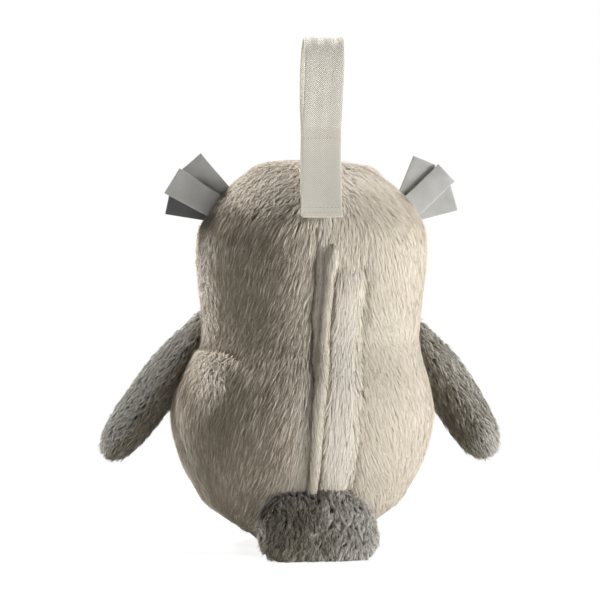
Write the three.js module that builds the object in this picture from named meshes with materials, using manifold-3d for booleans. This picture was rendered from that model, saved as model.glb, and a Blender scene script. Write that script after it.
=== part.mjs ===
// Plush owl that hangs from a webbing loop, with a rear closure and a sound unit in a pouch.
// Millimetres, +Z up, origin in the middle of the resting face.
// The owl looks along -Y, and its own left side is +X.

import * as THREE from 'three';
import { mergeVertices } from 'three/addons/utils/BufferGeometryUtils.js';
import Module from 'manifold-3d';

const wasm = await Module();
wasm.setup();

// Clearances
const touchGap = 0.4;
const hookGap = 0.3;
const mergeTolerance = 0.0001;
const cutReach = 200;

// Stuffed body and head, one pear form
const bodyHeight = 248;
const floorCut = 0.5;
const bellyHalfWidth = 85.5;
const depthShare = 0.83;
const sectionPower = 2.15;
const bellyShift = 3.5;
const headShift = -3.3;
const leanStartShare = 0.4;
const leanEndShare = 0.62;
const bodyRows = 26;
const bodySegments = 44;
const innerRows = 18;
const innerSegments = 32;
const profileSamples = 400;
const coverThickness = 4;
// Height share, half width share, from the sole of the body to the top of the head
const bodyOutlineShares = [
  [0, 0], [0.002, 0.28], [0.018, 0.36], [0.042, 0.452], [0.066, 0.567],
  [0.0905, 0.665], [0.127, 0.778], [0.171, 0.854], [0.219, 0.924], [0.276, 0.974],
  [0.332, 1], [0.384, 0.992], [0.437, 0.953], [0.493, 0.885], [0.545, 0.836],
  [0.598, 0.831], [0.646, 0.843], [0.694, 0.858], [0.75, 0.869], [0.799, 0.861],
  [0.843, 0.83], [0.895, 0.731], [0.936, 0.614], [0.968, 0.491], [0.988, 0.398],
  [0.997, 0.22], [1, 0],
];

// Wings: soft leaf shapes, from a root inside the side seam to the tip
const wingSegments = 20;
const wingRows = 14;
const wingPower = 2.3;
const wingRootInset = 7;
const leftWingLength = 116.4;
const rightWingLength = 104.4;
const leftWingHalfWidth = 16;
const rightWingHalfWidth = 17.2;
const leftWing = {
  side: 1, heightShare: 0.6095, length: leftWingLength, halfWidth: leftWingHalfWidth, droop: 53.3,
};
const rightWing = {
  side: -1, heightShare: 0.578, length: rightWingLength, halfWidth: rightWingHalfWidth, droop: 57.9,
};
const wingHalfThickness = 8.5;
const wingOutlineShares = [
  [0, 0], [0.02, 0.42], [0.1, 0.56], [0.18, 0.7], [0.32, 0.92], [0.49, 1],
  [0.69, 0.97], [0.845, 0.87], [0.945, 0.61], [0.986, 0.32], [1, 0],
];

// Tail pad: sewn along its top edge under the closure, rests on the floor
const tailHalfWidth = 38;
const tailHalfThickness = 8;
const tailTopHeight = bodyHeight * 0.16;
const tailTopInset = 6.5;
const tailLength = 49.3;
const tailDroop = 53.5;
const tailPower = 2.7;
const tailSegments = 24;
const tailRows = 12;
const tailOutlineShares = [
  [0, 0], [0.012, 0.46], [0.1, 0.7], [0.22, 0.86], [0.42, 0.97], [0.65, 1],
  [0.84, 0.93], [0.95, 0.74], [0.99, 0.45], [1, 0],
];
const tailThickShares = [
  [0, 0], [0.012, 0.5], [0.1, 0.72], [0.35, 0.95], [0.65, 1],
  [0.86, 0.85], [0.955, 0.6], [0.99, 0.35], [1, 0],
];

// Feet: small stuffed pads under the belly
const footSpacing = bellyHalfWidth * 0.491;
const footAxisHeight = 8.2;
const footOverhang = 8;
const footLength = 65;
const footHalfWidth = 17;
const footHalfHeight = 9;
const footSegments = 16;
const footRows = 9;
const footPower = 2.4;
const footOutlineShares = [
  [0, 0], [0.03, 0.4], [0.25, 0.7], [0.55, 0.95], [0.8, 1], [0.94, 0.75], [1, 0],
];
const footThickShares = [
  [0, 0], [0.03, 0.7], [0.25, 0.98], [0.55, 1], [0.8, 0.9], [0.94, 0.62], [1, 0],
];

// Ear tufts: three felt strips on each side of the head
const stripThickness = 2.5;
const stripSpacing = 3;
const tuftDepth = 2;
const tuftLength = 30;
const tuftHalfWidth = 8;
const stripRootInset = 5;
const stripCorner = 1.2;
const leftTuftUpper = {
  side: 1,
  heightShare: 0.9085,
  lengthShare: 0.987,
  rise: 48,
  rootShare: 0.975,
  tipShare: 1.1125,
  layer: 0,
};
const leftTuftMiddle = {
  side: 1,
  heightShare: 0.8851,
  lengthShare: 1.053,
  rise: 30.4,
  rootShare: 0.975,
  tipShare: 1.1875,
  layer: 1,
};
const leftTuftLower = {
  side: 1,
  heightShare: 0.8746,
  lengthShare: 0.927,
  rise: 11,
  rootShare: 0.95,
  tipShare: 1.0625,
  layer: -1,
};
const rightTuftUpper = {
  side: -1,
  heightShare: 0.8952,
  lengthShare: 0.943,
  rise: 68,
  rootShare: 0.975,
  tipShare: 0.9875,
  layer: 0,
};
const rightTuftMiddle = {
  side: -1,
  heightShare: 0.8827,
  lengthShare: 1.027,
  rise: 43.9,
  rootShare: 0.95,
  tipShare: 0.975,
  layer: 1,
};
const rightTuftLower = {
  side: -1,
  heightShare: 0.8722,
  lengthShare: 0.923,
  rise: 16.1,
  rootShare: 0.95,
  tipShare: 1.075,
  layer: -1,
};

// Hanging strap: one length of webbing, its free end folded over and held by two patches
const webWidth = 25;
const webThickness = 2;
const patchThickness = 1;
const patchWidth = 20;
const strapFootHeight = bodyHeight * 0.8508;
const strapLieLength = 8;
const strapFootShift = 3.1;
const strapTopShift = -1.3;
const strapLieHeight = strapFootHeight + strapLieLength;
const patchInset = 4.5;
const patchLength = 47.5;
const patchTopRoom = 3;
const patchLowHeight = strapFootHeight + patchInset;
const patchHighHeight = patchLowHeight + patchLength;
const riseHeight = patchHighHeight + patchTopRoom - strapLieHeight;
const riseLean = -14.9;
const riseShares = [[0.503, 0.362], [0.825, 0.702], [1, 1]];
const loopHeight = 59;
const loopWidth = 20.4;
// Across share, height share, counted from the top of the rise
const sewnLoopShares = [
  [-0.275, 0.169], [-0.529, 0.407], [-0.637, 0.627], [-0.608, 0.805],
  [-0.461, 0.939], [-0.304, 0.992], [-0.186, 1],
];
const freeLoopShares = [
  [-0.186, 1], [-0.064, 0.992], [0.118, 0.936], [0.284, 0.814],
  [0.363, 0.627], [0.353, 0.407], [0.294, 0.186],
];
const strapSamples = 16;
const foldDepth = 7;

// Rear closure: slot in the cover, hem beside it, flap over it, underlap and grip strips
const closureTop = bodyHeight * 0.7419;
const closureTailGap = 0.9;
const closureBottom = tailTopHeight + closureTailGap;
const flapEndGap = 1.2;
const flapFreeTop = -10.6;
const flapFreeBottom = 0.6;
const flapHingeTop = -26.6;
const flapHingeBottom = -18.9;
const flapFreeGap = 2.2;
const flapHingeGap = 0.8;
const flapInner = -2;
const flapOuter = 1;
const hemSetback = 1;
const hemWidth = 4.5;
const hemRise = 2;
const hemOverrun = 13.2;
const stripInset = 2.2;
const gripThickness = 1;
const underlapThickness = 1.2;
const underlapSink = 1.2;
const underlapReach = 8;
const underlapSlit = 4.6;

// Face, eyes, beak and belly panel on the front
const panelThickness = 2.6;
const faceHeight = bodyHeight * 0.7661;
const faceHalfWidth = bellyHalfWidth * 0.6784;
const faceHalfHeight = bodyHeight * 0.1613;
const faceOutlineShares = [
  [0, 0.62], [0.34, 0.93], [0.68, 0.92], [0.95, 0.5], [0.98, 0.02], [0.8, -0.5],
  [0.42, -0.88], [0, -1], [-0.42, -0.88], [-0.8, -0.5], [-0.98, 0.02], [-0.95, 0.5],
  [-0.68, 0.92], [-0.34, 0.93],
];
const eyeSpread = faceHalfWidth * 0.431;
const eyeHeight = faceHeight + faceHalfHeight * 0.25;
const eyePatchRadius = faceHalfHeight * 0.35;
const eyePatchThickness = 1.5;
const eyeRadius = 7.5;
const eyeBulgeShare = 0.55;
const beakHeight = faceHeight - faceHalfHeight * 0.175;
const beakHalfWidth = 7;
const beakHalfDepth = 9;
const beakHalfHeight = 10;
const bellyPanelHeight = bodyHeight * 0.3306;
const bellyPanelHalfWidth = bellyHalfWidth * 0.5497;
const bellyPanelHalfHeight = bodyHeight * 0.2016;

// Pouch and sound unit: sizes outwards from the speaker, board and batteries
const unitCorner = 8;
const unitWall = 2;
const unitX = 0;
const unitLowHeight = bodyHeight * 0.1855;
const unitSetback = 18.4;
const pouchClearance = 0.6;
const pouchWall = 1.2;
const wellDepth = 2.4;
const speakerRadius = 18;
const speakerDepth = 9;
const speakerHeight = 36;
const magnetRadius = 9;
const grilleHoleRadius = 2;
const grilleRingRadius = 10;
const grilleHoles = 6;
const boardThickness = 1.6;
const boardEdgeRoom = 0.6;
const boardNotchRoom = 1.2;
const boardRoom = 0.6;
const chipX = 8;
const chipZ = 20;
const chipWidth = 12;
const chipHeight = 10;
const chipRise = 0.8;
const switchPadSide = 6;
const switchPadRise = 1.5;
const buttonX = -14.6;
const buttonTopInset = 10;
const buttonRadius = 5;
const buttonFlange = 6.2;
const buttonFlangeDepth = 1.5;
const buttonProud = 2;
const buttonStem = 2.5;
const buttonTravelRoom = 1.5;
const batteryRadius = 5.25;
const batteryLength = 43.5;
const batteryNubRadius = 1.9;
const batteryNubLength = 1;
const batteryPitch = 11.6;
const contactThickness = 0.8;
const springLength = 4.7;
const springRadius = 3.4;
const springTipRadius = 2;
const baySideRoom = 1.55;
const bayWall = 1.4;
const bayLow = 4;
const lidThickness = 1.6;
const lidTongueHalfWidth = 6;
const lidTongueLength = 10;
const tongueBlockDepth = 8;
const unitTopRoom = 8.6;
const unitSideRoom = 10.2;
const screwShaft = 1.4;
const screwHead = 2.6;
const screwHeadDepth = 1.6;
const screwLength = 9;
const lidScrewLength = 5;
const postRadius = 4;
const postEdge = 6;
const screwSeatFloor = 2.6;

// Small helpers on meshes
function signedVolume(points, index) {
  let total = 0;
  for (let i = 0; i < index.length; i += 3) {
    const [a, b, c] = [index[i] * 3, index[i + 1] * 3, index[i + 2] * 3];
    const cx = points[b + 1] * points[c + 2] - points[b + 2] * points[c + 1];
    const cy = points[b + 2] * points[c] - points[b] * points[c + 2];
    const cz = points[b] * points[c + 1] - points[b + 1] * points[c];
    total += points[a] * cx + points[a + 1] * cy + points[a + 2] * cz;
  }
  return total;
}

function solid(geometry) {
  const bare = new THREE.BufferGeometry();
  bare.setAttribute('position', geometry.getAttribute('position').clone());
  if (geometry.index) bare.setIndex(geometry.index.clone());
  const merged = mergeVertices(bare, mergeTolerance);
  const index = merged.index.array;
  const points = Float32Array.from(merged.getAttribute('position').array);
  const kept = [];
  for (let i = 0; i < index.length; i += 3) {
    const [a, b, c] = [index[i], index[i + 1], index[i + 2]];
    if (a !== b && b !== c && c !== a) kept.push(a, b, c);
  }
  if (signedVolume(points, kept) < 0) {
    for (let i = 0; i < kept.length; i += 3) [kept[i + 1], kept[i + 2]] = [kept[i + 2], kept[i + 1]];
  }
  const mesh = new wasm.Mesh({ numProp: 3, vertProperties: points, triVerts: Uint32Array.from(kept) });
  return new wasm.Manifold(mesh);
}

function geometryOf(body) {
  const [main] = body.decompose().sort((a, b) => b.volume() - a.volume());
  const mesh = main.getMesh();
  const geometry = new THREE.BufferGeometry();
  geometry.setAttribute('position', new THREE.BufferAttribute(Float32Array.from(mesh.vertProperties), 3));
  geometry.setIndex(Array.from(mesh.triVerts));
  geometry.computeVertexNormals();
  return geometry;
}

function ringsGeometry(start, rings, end) {
  const points = [start, ...rings.flat(), end];
  const count = rings[0].length;
  const last = points.length - 1;
  const index = [];
  const at = (row, i) => 1 + row * count + (i % count);
  for (let i = 0; i < count; i += 1) {
    index.push(0, at(0, i + 1), at(0, i));
    index.push(last, at(rings.length - 1, i), at(rings.length - 1, i + 1));
    for (let row = 0; row < rings.length - 1; row += 1) {
      index.push(at(row, i), at(row, i + 1), at(row + 1, i));
      index.push(at(row, i + 1), at(row + 1, i + 1), at(row + 1, i));
    }
  }
  const geometry = new THREE.BufferGeometry();
  geometry.setAttribute('position', new THREE.Float32BufferAttribute(points.flatMap((p) => p.toArray()), 3));
  geometry.setIndex(index);
  return geometry;
}

function roundedPower(value, power) {
  return Math.sign(value) * Math.abs(value) ** (2 / power);
}

function curveOf(shares) {
  const points = shares.map(([along, across]) => new THREE.Vector3(along, across, 0));
  return new THREE.CatmullRomCurve3(points, false, 'centripetal');
}

function shareAt(samples, along) {
  for (let i = 1; i < samples.length; i += 1) {
    if (samples[i].x >= along) {
      const before = samples[i - 1];
      const span = samples[i].x - before.x;
      const mix = span > 0 ? (along - before.x) / span : 0;
      return before.y + (samples[i].y - before.y) * mix;
    }
  }
  return samples[samples.length - 1].y;
}

// Body form: rows along the outline, superellipse sections, a small sideways lean
const bodySpan = bodyHeight + floorCut;
const bodyCurve = new THREE.CatmullRomCurve3(
  bodyOutlineShares.map(([h, w]) => new THREE.Vector3(h * bodySpan, w * bellyHalfWidth, 0)),
  false,
  'centripetal',
);
const bodySamples = bodyCurve.getPoints(profileSamples);

function halfWidthAt(z) {
  return shareAt(bodySamples, z + floorCut);
}

function leanAt(z) {
  const mix = THREE.MathUtils.smoothstep(z / bodyHeight, leanStartShare, leanEndShare);
  return bellyShift + (headShift - bellyShift) * mix;
}

function sideAt(side, z) {
  return leanAt(z) + side * halfWidthAt(z);
}

function backDepth(z) {
  return halfWidthAt(z) * depthShare;
}

function bodyGeometry(rows, segments) {
  const stations = bodyCurve.getSpacedPoints(rows);
  const rings = stations.slice(1, -1).map((p) => {
    const z = p.x - floorCut;
    const ring = [];
    for (let i = 0; i < segments; i += 1) {
      const turn = (2 * Math.PI * i) / segments;
      const x = leanAt(z) + p.y * roundedPower(Math.cos(turn), sectionPower);
      const y = p.y * depthShare * roundedPower(Math.sin(turn), sectionPower);
      ring.push(new THREE.Vector3(x, y, z));
    }
    return ring;
  });
  const start = new THREE.Vector3(bellyShift, 0, -floorCut);
  const end = new THREE.Vector3(headShift, 0, bodyHeight);
  const geometry = ringsGeometry(start, rings, end);
  geometry.computeVertexNormals();
  return geometry;
}

const outerForm = bodyGeometry(bodyRows, bodySegments);
const innerForm = bodyGeometry(innerRows, innerSegments);

function grown(form, offset) {
  const geometry = form.clone();
  const points = geometry.getAttribute('position');
  const normals = form.getAttribute('normal');
  for (let i = 0; i < points.count; i += 1) {
    points.setXYZ(
      i,
      points.getX(i) + normals.getX(i) * offset,
      points.getY(i) + normals.getY(i) * offset,
      points.getZ(i) + normals.getZ(i) * offset,
    );
  }
  return solid(geometry);
}

// Prisms: an outline in the X-Z plane pushed along Y, or in the Y-Z plane pushed along X
const alongY = new THREE.Matrix4().makeBasis(
  new THREE.Vector3(1, 0, 0),
  new THREE.Vector3(0, 0, 1),
  new THREE.Vector3(0, 1, 0),
);
const alongX = new THREE.Matrix4().makeBasis(
  new THREE.Vector3(0, 1, 0),
  new THREE.Vector3(0, 0, 1),
  new THREE.Vector3(1, 0, 0),
);

function prism(shape, depth, basis, place, curveSegments = 5) {
  const geometry = new THREE.ExtrudeGeometry(shape, { depth, bevelEnabled: false, steps: 1, curveSegments });
  geometry.applyMatrix4(basis);
  geometry.translate(place.x, place.y, place.z);
  return solid(geometry);
}

function polygon(points) {
  return new THREE.Shape(points.map(([x, y]) => new THREE.Vector2(x, y)));
}

function roundedRectangle(halfWidth, low, high, radius) {
  const shape = new THREE.Shape();
  shape.moveTo(-halfWidth + radius, low);
  shape.lineTo(halfWidth - radius, low);
  shape.absarc(halfWidth - radius, low + radius, radius, -Math.PI / 2, 0, false);
  shape.lineTo(halfWidth, high - radius);
  shape.absarc(halfWidth - radius, high - radius, radius, 0, Math.PI / 2, false);
  shape.lineTo(-halfWidth + radius, high);
  shape.absarc(-halfWidth + radius, high - radius, radius, Math.PI / 2, Math.PI, false);
  shape.lineTo(-halfWidth, low + radius);
  shape.absarc(-halfWidth + radius, low + radius, radius, Math.PI, (3 * Math.PI) / 2, false);
  return shape;
}

const here = new THREE.Vector3();

function box(x0, x1, y0, y1, z0, z1) {
  const outline = polygon([[x0, z0], [x1, z0], [x1, z1], [x0, z1]]);
  return prism(outline, y1 - y0, alongY, new THREE.Vector3(0, y0, 0));
}

function discAlongY(x, z, radius, y0, y1, segments = 20) {
  const geometry = new THREE.CylinderGeometry(radius, radius, y1 - y0, segments);
  geometry.translate(x, (y0 + y1) / 2, z);
  return solid(geometry);
}

function turnedAlongY(x, y, z, outline, segments = 20) {
  const points = outline.map(([radius, height]) => new THREE.Vector2(radius, height));
  const geometry = new THREE.LatheGeometry(points, segments);
  geometry.translate(x, y, z);
  return solid(geometry);
}

const floorSlab = box(-cutReach, cutReach, -cutReach, cutReach, -cutReach, 0);
const bodyClear = grown(outerForm, touchGap);

// Soft pads: sections along a straight spine, flattened and rounded
function pad(start, end, across, through, widths, thicks, options) {
  const spine = end.clone().sub(start);
  const widthSamples = curveOf(widths).getPoints(profileSamples);
  const thickSamples = curveOf(thicks).getPoints(profileSamples);
  const stations = curveOf(widths).getSpacedPoints(options.rows).slice(1, -1);
  const rings = stations.map((p) => {
    const halfWidth = shareAt(widthSamples, p.x) * options.halfWidth;
    const halfThickness = shareAt(thickSamples, p.x) * options.halfThickness;
    const centre = start.clone().addScaledVector(spine, p.x);
    const ring = [];
    for (let i = 0; i < options.segments; i += 1) {
      const turn = (2 * Math.PI * i) / options.segments;
      ring.push(
        centre.clone()
          .addScaledVector(across, halfWidth * roundedPower(Math.cos(turn), options.power))
          .addScaledVector(through, halfThickness * roundedPower(Math.sin(turn), options.power)),
      );
    }
    return ring;
  });
  return solid(ringsGeometry(start, rings, end));
}

const degree = Math.PI / 180;

function wing({ side, heightShare, length, halfWidth, droop }) {
  const height = bodyHeight * heightShare;
  const start = new THREE.Vector3(sideAt(side, height) - side * wingRootInset, 0, height);
  const spine = new THREE.Vector3(side * Math.cos(droop * degree), 0, -Math.sin(droop * degree));
  const end = start.clone().addScaledVector(spine, length);
  const across = new THREE.Vector3(-spine.z, 0, spine.x).multiplyScalar(side);
  const through = new THREE.Vector3(0, 1, 0);
  const whole = pad(start, end, across, through, wingOutlineShares, wingOutlineShares, {
    rows: wingRows,
    segments: wingSegments,
    power: wingPower,
    halfWidth,
    halfThickness: wingHalfThickness,
  });
  return whole.subtract(bodyClear);
}

function tail() {
  const start = new THREE.Vector3(bellyShift, backDepth(tailTopHeight) - tailTopInset, tailTopHeight);
  const spine = new THREE.Vector3(0, Math.cos(tailDroop * degree), -Math.sin(tailDroop * degree));
  const end = start.clone().addScaledVector(spine, tailLength);
  const across = new THREE.Vector3(1, 0, 0);
  const through = new THREE.Vector3(0, -spine.z, spine.y);
  const whole = pad(start, end, across, through, tailOutlineShares, tailThickShares, {
    rows: tailRows,
    segments: tailSegments,
    power: tailPower,
    halfWidth: tailHalfWidth,
    halfThickness: tailHalfThickness,
  });
  return whole.subtract(bodyClear).subtract(floorSlab);
}

function foot(side) {
  const x = bellyShift + (side * footSpacing) / 2;
  const toe = -bellyHalfWidth * depthShare - footOverhang;
  const start = new THREE.Vector3(x, toe + footLength, footAxisHeight);
  const end = new THREE.Vector3(x, toe, footAxisHeight);
  const across = new THREE.Vector3(1, 0, 0);
  const through = new THREE.Vector3(0, 0, 1);
  const whole = pad(start, end, across, through, footOutlineShares, footThickShares, {
    rows: footRows,
    segments: footSegments,
    power: footPower,
    halfWidth: footHalfWidth,
    halfThickness: footHalfHeight,
  });
  return whole.subtract(bodyClear).subtract(floorSlab);
}

// Felt strips
function feltStrip({ side, heightShare, lengthShare, rise, rootShare, tipShare, layer }) {
  const height = bodyHeight * heightShare;
  const length = tuftLength * lengthShare;
  const [rootHalf, tipHalf] = [tuftHalfWidth * rootShare, tuftHalfWidth * tipShare];
  const root = new THREE.Vector2(sideAt(side, height), height);
  const spine = new THREE.Vector2(side * Math.cos(rise * degree), Math.sin(rise * degree));
  const across = new THREE.Vector2(-spine.y, spine.x);
  const point = (along, reach) => [
    root.x + spine.x * along + across.x * reach,
    root.y + spine.y * along + across.y * reach,
  ];
  const outline = polygon([
    point(-stripRootInset, -rootHalf),
    point(length - stripCorner, -tipHalf),
    point(length, stripCorner - tipHalf),
    point(length, tipHalf - stripCorner),
    point(length - stripCorner, tipHalf),
    point(-stripRootInset, rootHalf),
  ]);
  const y = tuftDepth + layer * stripSpacing - stripThickness / 2;
  return prism(outline, stripThickness, alongY, new THREE.Vector3(0, y, 0)).subtract(bodyClear);
}

// Panels that follow the body: an outline seen from the front or back, between two offsets
function panel(shape, side, inner, outer) {
  const reach = side > 0 ? 0 : -cutReach;
  const column = prism(shape, cutReach, alongY, new THREE.Vector3(0, reach, 0), 8);
  return column.intersect(grown(outerForm, outer).subtract(grown(outerForm, inner)));
}

function ellipseShape(centre, halfWidth, halfHeight) {
  const shape = new THREE.Shape();
  shape.absellipse(centre.x, centre.z, halfWidth, halfHeight, 0, 2 * Math.PI, false, 0);
  return shape;
}

function splineShape(centre, halfWidth, halfHeight, shares) {
  const place = ([x, z]) => new THREE.Vector3(centre.x + x * halfWidth, centre.z + z * halfHeight, 0);
  const points = shares.map(place);
  const curve = new THREE.CatmullRomCurve3(points, true, 'centripetal');
  return polygon(curve.getPoints(shares.length * 3).slice(0, -1).map((p) => [p.x, p.y]));
}

function frontDepth(x, z) {
  const half = halfWidthAt(z);
  const share = Math.abs(x - leanAt(z)) / half;
  return -half * depthShare * (1 - share ** sectionPower) ** (1 / sectionPower);
}

function ellipsoid(x, y, z, halfX, halfY, halfZ, segments = 16) {
  const geometry = new THREE.SphereGeometry(1, segments, segments / 2);
  geometry.scale(halfX, halfY, halfZ);
  geometry.translate(x, y, z);
  return solid(geometry);
}

const faceCentre = { x: headShift, z: faceHeight };
const bellyPanelCentre = { x: bellyShift, z: bellyPanelHeight };

function eye(side) {
  const x = faceCentre.x + side * eyeSpread;
  const base = touchGap + panelThickness + touchGap + eyePatchThickness + touchGap;
  const y = frontDepth(x, eyeHeight) - base;
  const ball = ellipsoid(x, y, eyeHeight, eyeRadius, eyeRadius * eyeBulgeShare, eyeRadius);
  return ball.subtract(grown(outerForm, base));
}

function eyePatch(side) {
  const inner = touchGap + panelThickness + touchGap;
  const centre = { x: faceCentre.x + side * eyeSpread, z: eyeHeight };
  return panel(ellipseShape(centre, eyePatchRadius, eyePatchRadius), -1, inner, inner + eyePatchThickness);
}

function beak() {
  const y = frontDepth(faceCentre.x, beakHeight) - touchGap - panelThickness;
  const whole = ellipsoid(faceCentre.x, y, beakHeight, beakHalfWidth, beakHalfDepth, beakHalfHeight);
  return whole.subtract(grown(outerForm, touchGap + panelThickness + touchGap));
}

// Strap: ribbons in the Y-Z plane
const strapFirst = [
  [backDepth(strapFootHeight), strapFootHeight],
  [backDepth((strapFootHeight + strapLieHeight) / 2), (strapFootHeight + strapLieHeight) / 2],
  [backDepth(strapLieHeight), strapLieHeight],
].map(([y, z]) => [y + touchGap + webThickness / 2 + hookGap, z]);

const lieEnd = strapFirst[strapFirst.length - 1];
const strapRise = riseShares.map(([y, z]) => [lieEnd[0] + y * riseLean, lieEnd[1] + z * riseHeight]);
const riseEnd = strapRise[strapRise.length - 1];
const loopPoint = ([y, z]) => [riseEnd[0] + y * loopWidth, riseEnd[1] + z * loopHeight];
const sewnLoop = sewnLoopShares.map(loopPoint);
const freeLoop = freeLoopShares.map(loopPoint);
const [[foldLine, foldTop]] = freeLoop;

function pathOf(points) {
  const knots = points.map(([y, z]) => new THREE.Vector3(y, z, 0));
  const curve = new THREE.CatmullRomCurve3(knots, false, 'centripetal');
  return curve.getSpacedPoints(strapSamples * 3).map((p) => new THREE.Vector2(p.x, p.y));
}

function normalsOf(path) {
  return path.map((p, i) => {
    const ahead = path[Math.min(i + 1, path.length - 1)];
    const behind = path[Math.max(i - 1, 0)];
    const along = ahead.clone().sub(behind).normalize();
    return new THREE.Vector2(along.y, -along.x);
  });
}

function offsetPath(path, reach) {
  const normals = normalsOf(path);
  return path.map((p, i) => p.clone().addScaledVector(normals[i], reach));
}

// The strap hangs a little aslant: its foot and its fold have sideways shifts of their own
const strapSlant = (strapTopShift - strapFootShift) / (foldTop - strapFootHeight);
const strapMiddle = headShift + strapFootShift - strapSlant * strapFootHeight;
const strapShear = new THREE.Matrix4().makeShear(0, 0, 0, 0, strapSlant, 0);

function ribbon(path, thickness, width) {
  const outline = [...offsetPath(path, thickness / 2), ...offsetPath(path, -thickness / 2).reverse()];
  const place = new THREE.Vector3(strapMiddle - width / 2, 0, 0);
  return prism(new THREE.Shape(outline), width, alongX, place).transform(strapShear.elements);
}

const sewnPath = pathOf([...strapFirst, ...strapRise, ...sewnLoop]);
const lowerPath = sewnPath.filter((p, i) => p.y < riseEnd[1] && i < sewnPath.length / 2);
const patchStack = webThickness / 2 + hookGap + patchThickness / 2;
const loopPatchPath = offsetPath(lowerPath, patchStack);
const hookPatchPath = offsetPath(lowerPath, patchStack + patchThickness + hookGap);
const freeStack = 2 * patchStack + patchThickness + hookGap;
const freeLower = offsetPath(lowerPath, freeStack).reverse();
const freeRise = pathOf([...freeLoop, ...freeLower.slice(0, 2).map((p) => [p.x, p.y])]);
const freePath = [...freeRise.filter((p) => p.y > freeLower[0].y + webThickness), ...freeLower];
const foldCut = () => box(
  -cutReach,
  cutReach,
  foldLine - touchGap / 2,
  foldLine + touchGap / 2,
  foldTop - foldDepth,
  foldTop + cutReach,
);
const betweenPatches = (p) => p.y > patchLowHeight && p.y < patchHighHeight;

// Rear closure
const flapTop = closureTop - flapEndGap;
const flapBottom = closureBottom + flapEndGap;

function slanted(z, topX, bottomX) {
  return bottomX + ((topX - bottomX) * (z - flapBottom)) / (flapTop - flapBottom);
}

function backStrip(low, high, rightOf, leftOf) {
  return polygon([[rightOf(low), low], [leftOf(low), low], [leftOf(high), high], [rightOf(high), high]]);
}

const hingeLine = (z) => slanted(z, flapHingeTop, flapHingeBottom);
const freeLine = (z) => slanted(z, flapFreeTop, flapFreeBottom);
const slotShape = backStrip(
  closureBottom,
  closureTop,
  (z) => hingeLine(z) - flapHingeGap,
  (z) => freeLine(z) + flapFreeGap,
);
const flapShape = backStrip(flapBottom, flapTop, hingeLine, freeLine);
const hemShape = backStrip(
  flapBottom,
  flapTop + hemOverrun,
  (z) => freeLine(z) + flapFreeGap + hemSetback,
  (z) => freeLine(z) + flapFreeGap + hemSetback + hemWidth,
);
const gripShape = backStrip(
  flapBottom + stripInset,
  flapTop - stripInset,
  (z) => hingeLine(z) + stripInset,
  (z) => freeLine(z) - stripInset,
);
const underlapShape = backStrip(
  closureBottom + touchGap,
  closureTop - touchGap,
  (z) => hingeLine(z) + underlapSlit,
  (z) => freeLine(z) + flapFreeGap + underlapReach,
);
const loopGripShape = backStrip(
  flapBottom + stripInset,
  flapTop - stripInset,
  (z) => hingeLine(z) + underlapSlit,
  (z) => freeLine(z) - stripInset,
);
const wellShape = backStrip(
  closureBottom - stripInset,
  closureTop + stripInset,
  (z) => hingeLine(z) - flapHingeGap - stripInset,
  (z) => freeLine(z) + flapFreeGap + underlapReach + stripInset,
);
const hookOuter = flapInner - hookGap;
const hookInner = hookOuter - gripThickness;
const loopOuter = hookInner - hookGap;
const loopInner = loopOuter - gripThickness;
const underlapOuter = Math.min(loopInner - hookGap, -coverThickness - underlapSink);
const underlapInner = underlapOuter - underlapThickness;
const wellInner = underlapInner - wellDepth;

function bodyCover() {
  const shell = solid(outerForm).subtract(grown(innerForm, -coverThickness));
  const slot = prism(slotShape, cutReach, alongY, here);
  return shell.subtract(slot).subtract(floorSlab);
}

const bayHalfWidth = batteryPitch + batteryRadius + baySideRoom;
const springBase = bayLow + touchGap + contactThickness;
const batteryBase = springBase + springLength + touchGap;
const batteryTop = batteryBase + batteryLength + batteryNubLength;
const bayHigh = batteryTop + touchGap + contactThickness + touchGap;
const tongueHigh = bayHigh + lidTongueLength;
const lidScrewHeight = bayHigh + lidTongueLength / 2;
const unitHeight = tongueHigh + unitTopRoom;
const unitWidth = 2 * (bayHalfWidth + bayWall + unitSideRoom);
const buttonZ = unitHeight - buttonTopInset;
const speakerFront = unitWall + touchGap;
const speakerBack = speakerFront + speakerDepth;
const boardFront = speakerBack + touchGap;
const boardBack = boardFront + boardThickness;
const boardHalf = {
  x: unitWidth / 2 - unitWall - boardEdgeRoom,
  z: unitHeight / 2 - unitWall - boardEdgeRoom,
};
const unitSplit = boardBack + boardRoom;
const rearStart = unitSplit + touchGap;
const bayBack = boardBack + chipRise + touchGap;
const bayFloor = bayBack + bayWall;
const batteryY = bayFloor + touchGap + batteryRadius;
const lidInner = batteryY + batteryRadius + touchGap;
const unitDepth = lidInner + lidThickness;
const rearInside = unitDepth - unitWall;
const postX = unitWidth / 2 - postEdge;
const boardNotch = boardHalf.x - (postX - postRadius) + boardNotchRoom;
const screwSeat = rearStart + screwSeatFloor;

const unitY = backDepth(unitLowHeight + unitHeight) - unitSetback - unitDepth;
const pouchLow = unitLowHeight - pouchClearance;
const pouchHigh = unitLowHeight + unitHeight + pouchClearance;
const pouchFront = unitY - pouchClearance;

function pouchBlock(extra) {
  const shape = roundedRectangle(
    unitWidth / 2 + pouchClearance + extra,
    pouchLow - extra,
    pouchHigh + extra,
    unitCorner,
  );
  return prism(shape, cutReach, alongY, new THREE.Vector3(unitX, pouchFront - extra, 0));
}

function closureWell() {
  return panel(wellShape, 1, wellInner, 0);
}

function bodyFilling() {
  const core = grown(innerForm, -coverThickness - touchGap);
  const lifted = box(-cutReach, cutReach, -cutReach, cutReach, -cutReach, coverThickness);
  return core.subtract(pouchBlock(pouchWall + touchGap)).subtract(closureWell()).subtract(lifted);
}

function pouchLining() {
  const bag = pouchBlock(pouchWall).subtract(pouchBlock(0));
  return bag.intersect(grown(innerForm, -coverThickness - touchGap)).subtract(closureWell());
}

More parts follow.
